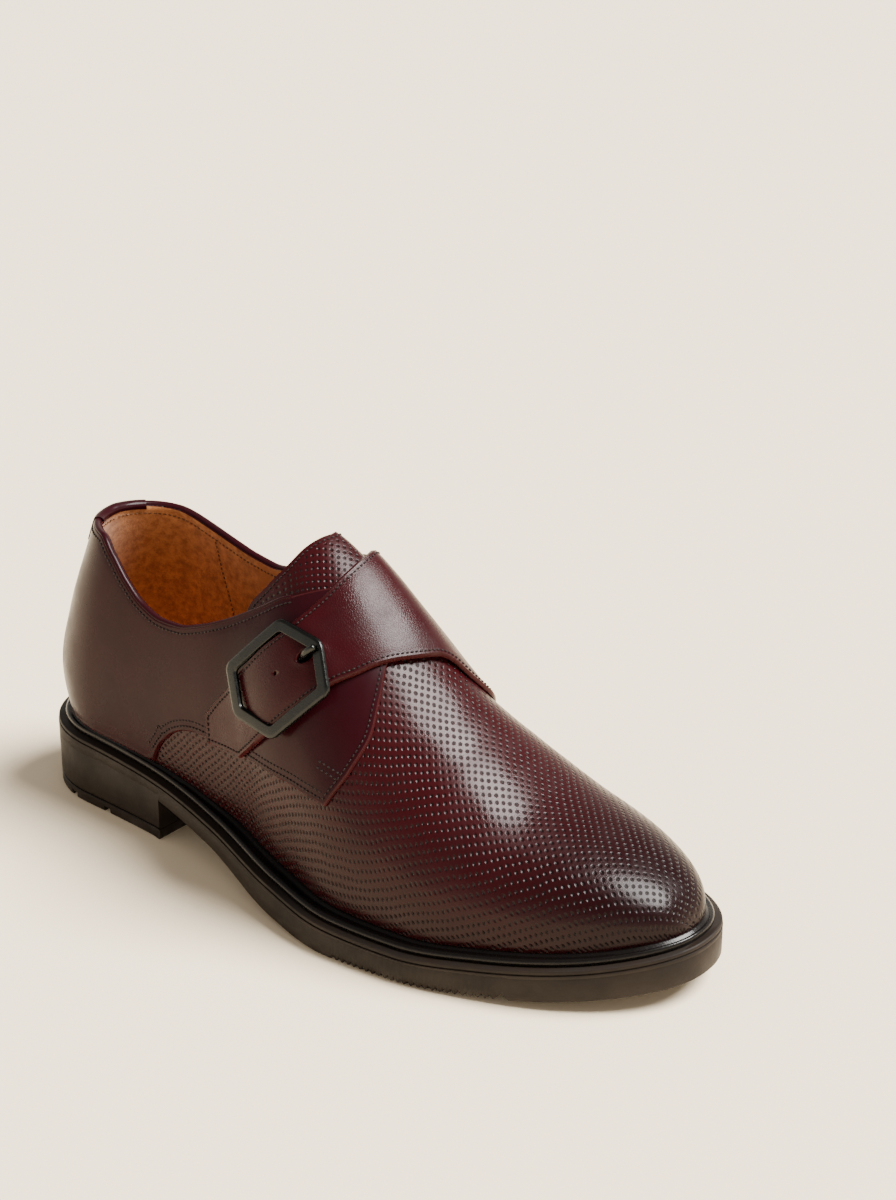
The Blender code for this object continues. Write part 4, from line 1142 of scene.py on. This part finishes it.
def makeHeelTab():
    # a strip folded over the top line at the back
    across = np.linspace(-1.0, 1.0, 25)
    spacings = np.linspace(0.0, 0.16, 300)
    arc = pathLengths(lastPoint(spacings, collarBack))
    outerLift = quarterTop + heelTab["clear"]
    innerLift = -leather["wall"] - heelTab["clear"]
    centre, radius = (outerLift + innerLift) / 2, (outerLift - innerLift) / 2
    sections = []
    for part in across:
        side = 1.0 if part >= 0 else -1.0
        spacing = float(np.interp(abs(part) * heelTab["halfWidth"], arc, spacings))
        collar = float(np.interp(spacing, *zip(*[(p, abs(g)) for p, g in collarRun(side, 0.0)])))
        reach = heelTab["outside"] * (1 - heelTab["cornerRise"] * abs(part) ** 3)
        top, below = lastPoint(np.array([spacing] * 2), side * np.array([collar, collar + 0.04]))
        fall = unit(below - top)
        normal = lastNormal(np.array([spacing]), np.array([side * collar]))[0]
        if abs(part) < 0.3:
            normal[1] *= abs(part) / 0.3
            normal = unit(normal)
        path = [(outerLift, reach * share) for share in (1.0, 0.8, 0.6, 0.4, 0.2, 0.05)]
        path += [(centre + radius * math.cos(angle), -0.75 * radius * math.sin(angle))
                 for angle in np.linspace(0.3, math.pi - 0.3, 7)]
        path += [(innerLift, heelTab["inside"] * share) for share in (0.05, 0.4, 0.7, 1.0)]
        path = np.array(path)
        ways = unit(np.gradient(path, axis=0))
        thick = heelTab["thickness"] * (1 - 0.6 * max(0.0, abs(part) - 0.92) / 0.08)
        outer = path + thick * np.stack([ways[:, 1], -ways[:, 0]], axis=1)
        ring = np.vstack([outer, path[::-1]])
        sections.append(top + ring[:, :1] * normal + ring[:, 1:] * fall)
    mesh = mended(bandMesh("heel_tab_folded", sections, closed=False, capped=True, sharp=50), outward=True)
    setToEdge(mesh)
    addPiece("heel_tab_folded", mesh, [quarterLeather], "heel_tab")


makeBinding()
makeHeelTab()
print("collar bound")


# Stitches

def stitchTree():
    tree = bpy.data.node_groups.new("stitch_row", "GeometryNodeTree")
    face = tree.interface
    face.new_socket(name="Path", in_out="INPUT", socket_type="NodeSocketGeometry")
    for name in ("Pitch", "Length", "Width"):
        face.new_socket(name=name, in_out="INPUT", socket_type="NodeSocketFloat")
    face.new_socket(name="Thread", in_out="INPUT", socket_type="NodeSocketMaterial")
    face.new_socket(name="Stitches", in_out="OUTPUT", socket_type="NodeSocketGeometry")
    given = tree.nodes.new("NodeGroupInput").outputs
    curve = node(tree, "GeometryNodeMeshToCurve", {0: given["Path"]}).outputs[0]
    points = node(tree, "GeometryNodeCurveToPoints", {"Curve": curve, "Length": given["Pitch"]},
                  mode="LENGTH")
    turn = node(tree, "FunctionNodeAlignRotationToVector", {"Vector": points.outputs["Tangent"]}, axis="X")
    ball = node(tree, "GeometryNodeMeshUVSphere", {"Segments": 6, "Rings": 5, "Radius": 0.5}).outputs[0]
    size = node(tree, "ShaderNodeCombineXYZ", {0: given["Length"], 1: given["Width"], 2: given["Width"]})
    ball = node(tree, "GeometryNodeTransform", {"Geometry": ball, "Scale": size.outputs[0]}).outputs[0]
    rows = node(tree, "GeometryNodeInstanceOnPoints", {"Points": points.outputs[0], "Instance": ball,
                                                       "Rotation": turn.outputs[0]}).outputs[0]
    real = node(tree, "GeometryNodeRealizeInstances", {0: rows}).outputs[0]
    soft = node(tree, "GeometryNodeSetShadeSmooth", {0: real}).outputs[0]
    coloured = node(tree, "GeometryNodeSetMaterial",
                    {"Geometry": soft, "Material": given["Thread"]}).outputs[0]
    out = tree.nodes.new("NodeGroupOutput")
    tree.links.new(coloured, out.inputs[0])
    return tree


stitchRows = stitchTree()


def sew(name, rows, thread):
    points, edges = [], []
    for row in rows:
        start = len(points)
        points += list(row)
        edges += [(start + index, start + index + 1) for index in range(len(row) - 1)]
    piece = addPiece(name, newMesh(name, points, edges, []), [])
    modifier = piece.modifiers.new("rows", "NODES")
    modifier.node_group = stitchRows
    values = {"Pitch": leather["stitchPitch"], "Length": leather["stitchLength"],
              "Width": leather["stitchWidth"], "Thread": thread}
    for item in stitchRows.interface.items_tree:
        if item.in_out == "INPUT" and item.name in values:
            modifier[item.identifier] = values[item.name]
    bakeObject(piece)


def insetPath(spacing, girth, distance):  # moved sideways on the surface, to the right of its way
    along = unit(np.gradient(lastPoint(spacing, girth), axis=0))
    side = np.cross(lastNormal(spacing, girth), along)
    ways = np.stack(surfaceWays(spacing, girth), axis=2)
    moved = np.array([np.linalg.lstsq(base, distance * way, rcond=None)[0] for base, way in zip(ways, side)])
    return spacing + moved[:, 0], girth + moved[:, 1]


def rowAt(run, distance, lift, trim=(0.0, 0.0)):
    spacing, girth = insetPath(*densePath(bySpacing(run)), -distance)  # outlines run clockwise
    lengths = pathLengths(lastPoint(spacing, girth))
    keep = (lengths >= trim[0]) & (lengths <= lengths[-1] - trim[1])
    return liftedPoints(spacing[keep], girth[keep], lift)


def topOf(lift, thickness):
    return lambda spacing, girth: lift(spacing, girth) + thickness + leather["threadLift"]


def collarRow(side, rowsKept, lift, below=leather["collarInset"]):
    path = densePath(collarRun(side, backSeam + 0.01, rowsKept))
    return liftedPoints(*insetPath(*path, side * below), lift)


barTack = (((0.562, -0.551), (0.588, -0.531)), ((0.561, -0.568), (0.587, -0.550)))
liningSeam = ((0.166, 0.500), (0.174, 0.574), (0.185, 0.637), (0.196, 0.705), (0.204, 0.780))


def sewLining():
    inside = evenLift(-leather["wall"] - 0.0001)
    rows = [rowAt(liningSeam, 0.0, inside)]
    for side in (1.0, -1.0):
        rows.append(collarRow(side, collarRows[side], inside, leather["liningInset"]))
    sew("stitches_lining", rows, tanThread)


def sewUpper():
    quarter = topOf(quarterLift, leather["quarter"])
    strap = topOf(strapLift, leather["strap"])
    near, gap = leather["stitchInset"], leather["rowGap"]
    outer = [rowAt(lateralFront, near, quarter, (0.004, near))]
    outer += [rowAt(lateralBottom, inset, quarter, (near, 0.0)) for inset in (near, near + gap)]
    outer.append(collarRow(-1.0, collarRows[-1.0], quarter))
    outer += [rowAt(row, 0.0, quarter) for row in barTack]
    sew("stitches_outer_quarter", outer, darkThread)
    inner = [rowAt(medialBottom, inset, strap, (0.0, near)) for inset in (near, near + gap)]
    inner.append(collarRow(1.0, medialCollarRows, strap))
    sew("stitches_inner_quarter", inner, darkThread)
    corner = 0.5 * near
    trims = ((strapFront, near, corner), (strapEnd, corner, corner), (strapSide, corner, corner),
             (strapBack, corner, 0.002))
    edges = [rowAt(run, near, strap, (start, end)) for run, start, end in trims]
    sew("stitches_strap", edges, darkThread)
    tongueFace = evenLift(-leather["wall"] - leather["layerGap"] + leather["threadLift"])
    tongue = [rowAt(tongueTop, leather["tongueInset"], tongueFace, (0.004, 0.004))]
    sew("stitches_tongue", tongue, darkThread)


sewUpper()
sewLining()
print("seams sewn")


# Sole, heel lift and welt

def soleSolid(name, levels, material, replaced):
    # levels hold (left, right) rows of points at shared stations, lowest first
    count = len(levels[0][0])
    points, faces = [], []
    for left, right in levels:
        points += list(left) + list(right)
    size = 2 * count
    for level in range(len(levels) - 1):
        low, high = level * size, (level + 1) * size
        for index in range(count - 1):
            faces.append((low + index, low + index + 1, high + index + 1, high + index))
            a, b = low + count + index, high + count + index
            faces.append((a + 1, a, b, b + 1))
        faces.append((low, high, high + count, low + count))
        end = count - 1
        faces.append((low + end, low + count + end, high + count + end, high + end))
    top = (len(levels) - 1) * size
    for index in range(count - 1):
        faces.append((index, index + count, index + count + 1, index + 1))
        faces.append((top + index, top + index + 1, top + index + count + 1, top + index + count))
    addPiece(name, tidyMesh(name, points, faces, 32), [material], replaced)


def levelsOf(x, outline):  # from rows of inset and height
    return [[np.column_stack([side, height]) for side in soleSides(x, insetBy)]
            for insetBy, height in outline]


def treadCuts():
    # (start, end, depth) of each groove across the forefoot
    first = sole["archEndShare"] * sole["length"] + 2 * sole["groovePitch"]
    width = 0.9 * sole["groovePitch"]
    cuts = []
    for index in range(sole["grooveCount"]):
        middle = first + index * sole["groovePitch"]
        cuts.append((middle - width / 2, middle + width / 2, sole["grooveDepth"]))
    bigWidth, bigDepth = sole["bigGroove"]
    start = first + (sole["grooveCount"] - 0.5) * sole["groovePitch"]
    cuts.append((start, start + bigWidth, bigDepth))
    return cuts


# the side's outline from the foot up, as inset and rise from the bottom, the scored line and the top
soleFoot = ((0.0010, 0.0), (0.0003, 0.0003), (0.0, 0.0010))
soleScore = ((0.0, -0.0005), (0.0002, -0.0001), (0.0002, 0.0001), (0.0, 0.0005))
soleRim = (
    (0.0, -0.0021), (0.0001, -0.0019), (0.0006, -0.0018), (0.0006, -0.0014), (0.0002, -0.0012),
    (0.0002, -0.0006), (0.0004, -0.0002), (0.0009, 0.0),
)


def makeOutsole():
    breast = sole["heelBreast"]
    stations = list(stationsFine[::3]) + [stationsFine[-1], breast - 0.00004, breast + 0.00004]
    for start, end, _ in treadCuts():
        stations += [start, (start + end) / 2, end]
    x = np.unique(np.array(stations))
    bottom = np.where(x < breast, sole["liftHeight"] + 0.0003, np.where(
        x < sole["archEndShare"] * sole["length"], archHeight(x), soleBottom(x)))
    raised = np.zeros_like(x)
    for start, end, depth in treadCuts():
        middle, half = (start + end) / 2, (end - start) / 2
        raised = np.maximum(raised, depth * np.clip(1 - np.abs(x - middle) / half, 0.0, 1.0))
    bottom = bottom + raised
    top = soleTop(x)
    line = bottom + sole["scoredAt"] * (top - bottom)
    outline = []
    for start, rows in ((bottom, soleFoot), (line, soleScore), (top, soleRim)):
        outline += [(insetBy, start + rise) for insetBy, rise in rows]
    soleSolid("outsole_rubber", levelsOf(x, outline), soleRubber, "outsole")


def makeHeelLift():
    width, depth = sole["notchSize"]
    stations = list(np.linspace(0, 1, 40) ** 2 * sole["heelRound"]) + list(
        np.linspace(sole["heelRound"], sole["heelBreast"], 12))
    for place in sole["notchPlaces"]:
        for edge in (place - width / 2, place + width / 2):
            stations += [edge - 0.00003, edge + 0.00003]
    x = np.unique(np.array(stations))
    bottom = np.zeros_like(x)
    for place in sole["notchPlaces"]:
        bottom[np.abs(x - place) < width / 2] = depth
    lift = np.full_like(x, sole["liftHeight"])
    outline = ((0.0007, bottom), (0.0002, bottom + 0.0002), (0.0, bottom + 0.0007), (0.0, lift - 0.0003),
               (0.0003, lift))
    soleSolid("heel_top_piece", levelsOf(x, outline), soleRubber, "heel_lift")


weltShape = {
    "margin": 0.0032,  # from the welt's outer face to the sole's edge
    "height": 0.0029,
    "profile": (  # share of the way out from the upper, and rise as a share of the height
        (-0.12, 0.12), (1.0, 0.12), (1.06, 0.30), (1.06, 0.55), (1.00, 0.78), (0.88, 0.94), (0.74, 1.0),
        (0.60, 0.96), (0.46, 0.90), (0.30, 1.02), (0.15, 1.18), (0.0, 1.26), (-0.12, 1.26),
    ),
}


def makeWelt():
    x = stationsFine[::3]
    spacings = np.arccos(1 - 2 * x / sole["length"]) / math.pi
    girth = girthAt(spacings, weltShape["height"])
    innerLeft, innerRight = lastPoint(spacings, -girth)[:, :2], lastPoint(spacings, girth)[:, :2]
    outerLeft, outerRight = soleSides(x, weltShape["margin"])
    inner = np.vstack([innerLeft, innerRight[-2:0:-1]])
    outer = np.vstack([outerLeft, outerRight[-2:0:-1]])
    share, rise = np.array(weltShape["profile"]).T
    sections = []
    for near, far in zip(inner, outer):
        spots = near + share[:, None] * (far - near)
        level = soleTop(np.clip(spots[:, 0], 0, sole["length"]))
        sections.append(np.column_stack([spots, level + rise * weltShape["height"]]))
    addPiece("welt_bead", bandMesh("welt_bead", sections, sharp=55), [weltRubber], "welt")


def makeInsole():
    x = np.linspace(0.012, 0.283, 110)
    spacings = spacingOf(x / sole["length"])
    girth = girthAt(spacings, 0.0015)
    left, right = lastPoint(spacings, -girth)[:, :2], lastPoint(spacings, girth)[:, :2]
    ring = insetRing(np.vstack([left, right[::-1]]), leather["wall"] + 0.0012)
    left, right = ring[:len(x)], ring[len(x):][::-1]
    floor = soleTop(x) + 0.0004
    levels = [[np.column_stack([side, floor + rise]) for side in (left, right)] for rise in (0.0, 0.0042)]
    soleSolid("insole_leather", levels, liningLeather, "insole")


makeOutsole()
makeHeelLift()
makeWelt()
makeInsole()
print("sole cut")


# Buckle

def frameOutline(insetBy):
    half = [(math.radians(degrees), share * buckle["reach"]) for degrees, share in buckle["corners"]]
    angles = [angle for angle, _ in half] + [angle + math.pi for angle, _ in half]
    reaches = [reach for _, reach in half] * 2
    order = np.argsort(np.mod(angles, 2 * math.pi))
    corners = np.array([(reaches[i] * math.cos(angles[i]), reaches[i] * math.sin(angles[i])) for i in order])
    ahead = unit(np.roll(corners, -1, axis=0) - corners)
    moved = corners + insetBy * np.stack([-ahead[:, 1], ahead[:, 0]], axis=1)
    points = []
    for index in range(len(corners)):
        before = index - 1
        system = np.column_stack([ahead[before], -ahead[index]])
        along = np.linalg.solve(system, moved[index] - moved[before])[0]
        corner = moved[before] + along * ahead[before]
        rounding = max(buckle["cornerRound"] - 0.35 * insetBy, 0.0006)
        start, end = corner - rounding * ahead[before], corner + rounding * ahead[index]
        for part in np.linspace(0, 1, 9):
            points.append((1 - part) ** 2 * start + 2 * part * (1 - part) * corner + part ** 2 * end)
    points = np.array(points)
    after = np.roll(points, -1, axis=0)
    out = []
    for index, point in enumerate(points):
        out.append(point)
        if index % 9 == 8:
            out += [point + part * (after[index] - point) for part in (0.2, 0.4, 0.6, 0.8)]
    return np.array(out)


def makeFrame():
    low, high = buckle["level"], buckle["level"] + buckle["thickness"]
    width = buckle["width"]
    profile = (
        (0.0006, low), (0.0, low + 0.0006), (0.0, high - 0.0008), (0.0002, high - 0.00035),
        (0.0009, high - 0.00003), (0.0012, high), (width - 0.0006, high),
        (width - 0.0004, high - 0.0001), (width, high - 0.0008), (width, low + 0.0004), (width - 0.0004, low),
    )
    rings = []
    for insetBy, height in profile:
        outline = frameOutline(insetBy)
        points = buckleOrigin + outline[:, :1] * forward + (outline[:, 1:] - buckle["frameDrop"]) * upward
        along = (points - buckleOrigin) @ crownward
        level = height - buckle["bow"] * (along / buckle["reach"]) ** 2
        rings.append(points + level[:, None] * buckleNormal)
    mesh = mended(bandMesh("frame_satin", list(np.stack(rings, axis=1)), sharp=24), outward=True)
    addPiece("frame_satin", mesh, [gunmetal], "buckle_frame")


prongPath = (  # along the strap, height over the last, radius as a share of the prong's
    (0.0016, 0.0029, 1.0), (0.0060, 0.0025, 1.0), (0.0095, 0.0019, 1.0), (0.0112, 0.0020, 1.0),
    (0.0130, 0.0034, 1.0), (0.0148, 0.0049, 1.03), (0.0166, 0.0059, 1.06), (0.0185, 0.0062, 1.06),
    (0.0205, 0.00605, 1.0), (0.0212, 0.0060, 0.65),
)


def makeProng():
    knots, fine = np.linspace(0, 1, len(prongPath)), np.linspace(0, 1, 40)
    along, height, radius = (smooth(knots, part, fine) for part in zip(*prongPath))
    radius[-1] = 0.1
    points = overBuckle(along, buckle["skew"] * along, height)
    rise = unit(np.cross(unit(np.gradient(points, axis=0)), crosswise))
    turn = circleAngles(16)[:, None]
    sections = [point + size * buckle["prongRadius"] * (np.cos(turn) * crosswise + np.sin(turn) * up)
                for point, up, size in zip(points, rise, radius)]
    mesh = mended(bandMesh("prong_satin", sections, closed=False, capped=True), outward=True)
    addPiece("prong_satin", mesh, [gunmetal], "buckle_prong")


makeFrame()
makeProng()
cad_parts["buckle_bar"].data.materials[0] = gunmetal
print("buckle fastened")


# Floor, light and camera

def makeFloor():
    reach = studio["floorReach"]
    mesh = bpy.data.meshes.new("floor")
    corners = [(x * reach, y * reach, 0) for x, y in ((-1, -1), (1, -1), (1, 1), (-1, 1))]
    mesh.from_pydata(corners, [], [(0, 1, 2, 3)])
    mesh.materials.append(floorMaterial())
    newObject("floor", mesh)


studio = {
    "sun": {"azimuth": 128, "elevation": 56, "strength": 12.3, "spread": 33},
    "sunColour": (1.0, 0.975, 0.945),
    "floor": colour(0.94, 0.79, 0.575),
    "floorReach": 4.0,
    "horizon": (colour(1.0, 0.90, 0.775), 1.6),
    "ceiling": (colour(0.84, 0.79, 0.74), 0.45),
}


def makeSun():
    place = studio["sun"]
    data = bpy.data.lights.new("key_softbox", "SUN")
    data.energy = place["strength"]
    data.angle = math.radians(place["spread"])
    data.color = studio["sunColour"]
    newObject("key_softbox", data).rotation_euler = turnedTo(place)


def turnedTo(place):  # looking down from an azimuth, from the buckle's side towards the toe, and an elevation
    turn, rise = math.radians(place["azimuth"]), math.radians(place["elevation"])
    back = Vector((math.sin(turn) * math.cos(rise), -math.cos(turn) * math.cos(rise), math.sin(rise)))
    return back.to_track_quat("Z", "Y").to_euler()


cameraPlace = {
    "location": (0.5228, -0.6005, 0.4641),
    "azimuth": 38.58,
    "elevation": 24.0,
    "lens": 73.02,
}


def makeCamera():
    data = bpy.data.cameras.new("portrait")
    data.lens = cameraPlace["lens"]
    data.sensor_width = 36.0
    data.clip_start = 0.01
    camera = newObject("portrait", data)
    camera.location = cameraPlace["location"]
    camera.rotation_euler = turnedTo(cameraPlace)
    bpy.context.scene.camera = camera


def makeWorld():
    world = bpy.data.worlds.new("studio")
    world.use_nodes = True
    tree = world.node_tree
    ground = tree.nodes["Background"]
    way = node(tree, "ShaderNodeTexCoord").outputs["Generated"]
    height = node(tree, "ShaderNodeSeparateXYZ", {0: way}).outputs[2]
    rising = mapTo(tree, height, 0.10, 0.62)
    (low, lowStrength), (high, highStrength) = studio["horizon"], studio["ceiling"]
    tree.links.new(mixColour(tree, rising, low, high), ground.inputs[0])
    tree.links.new(mapTo(tree, rising, 0.0, 1.0, lowStrength, highStrength, "LINEAR"), ground.inputs[1])
    bpy.context.scene.world = world


makeFloor()
makeSun()
makeCamera()
makeWorld()
print("studio lit")
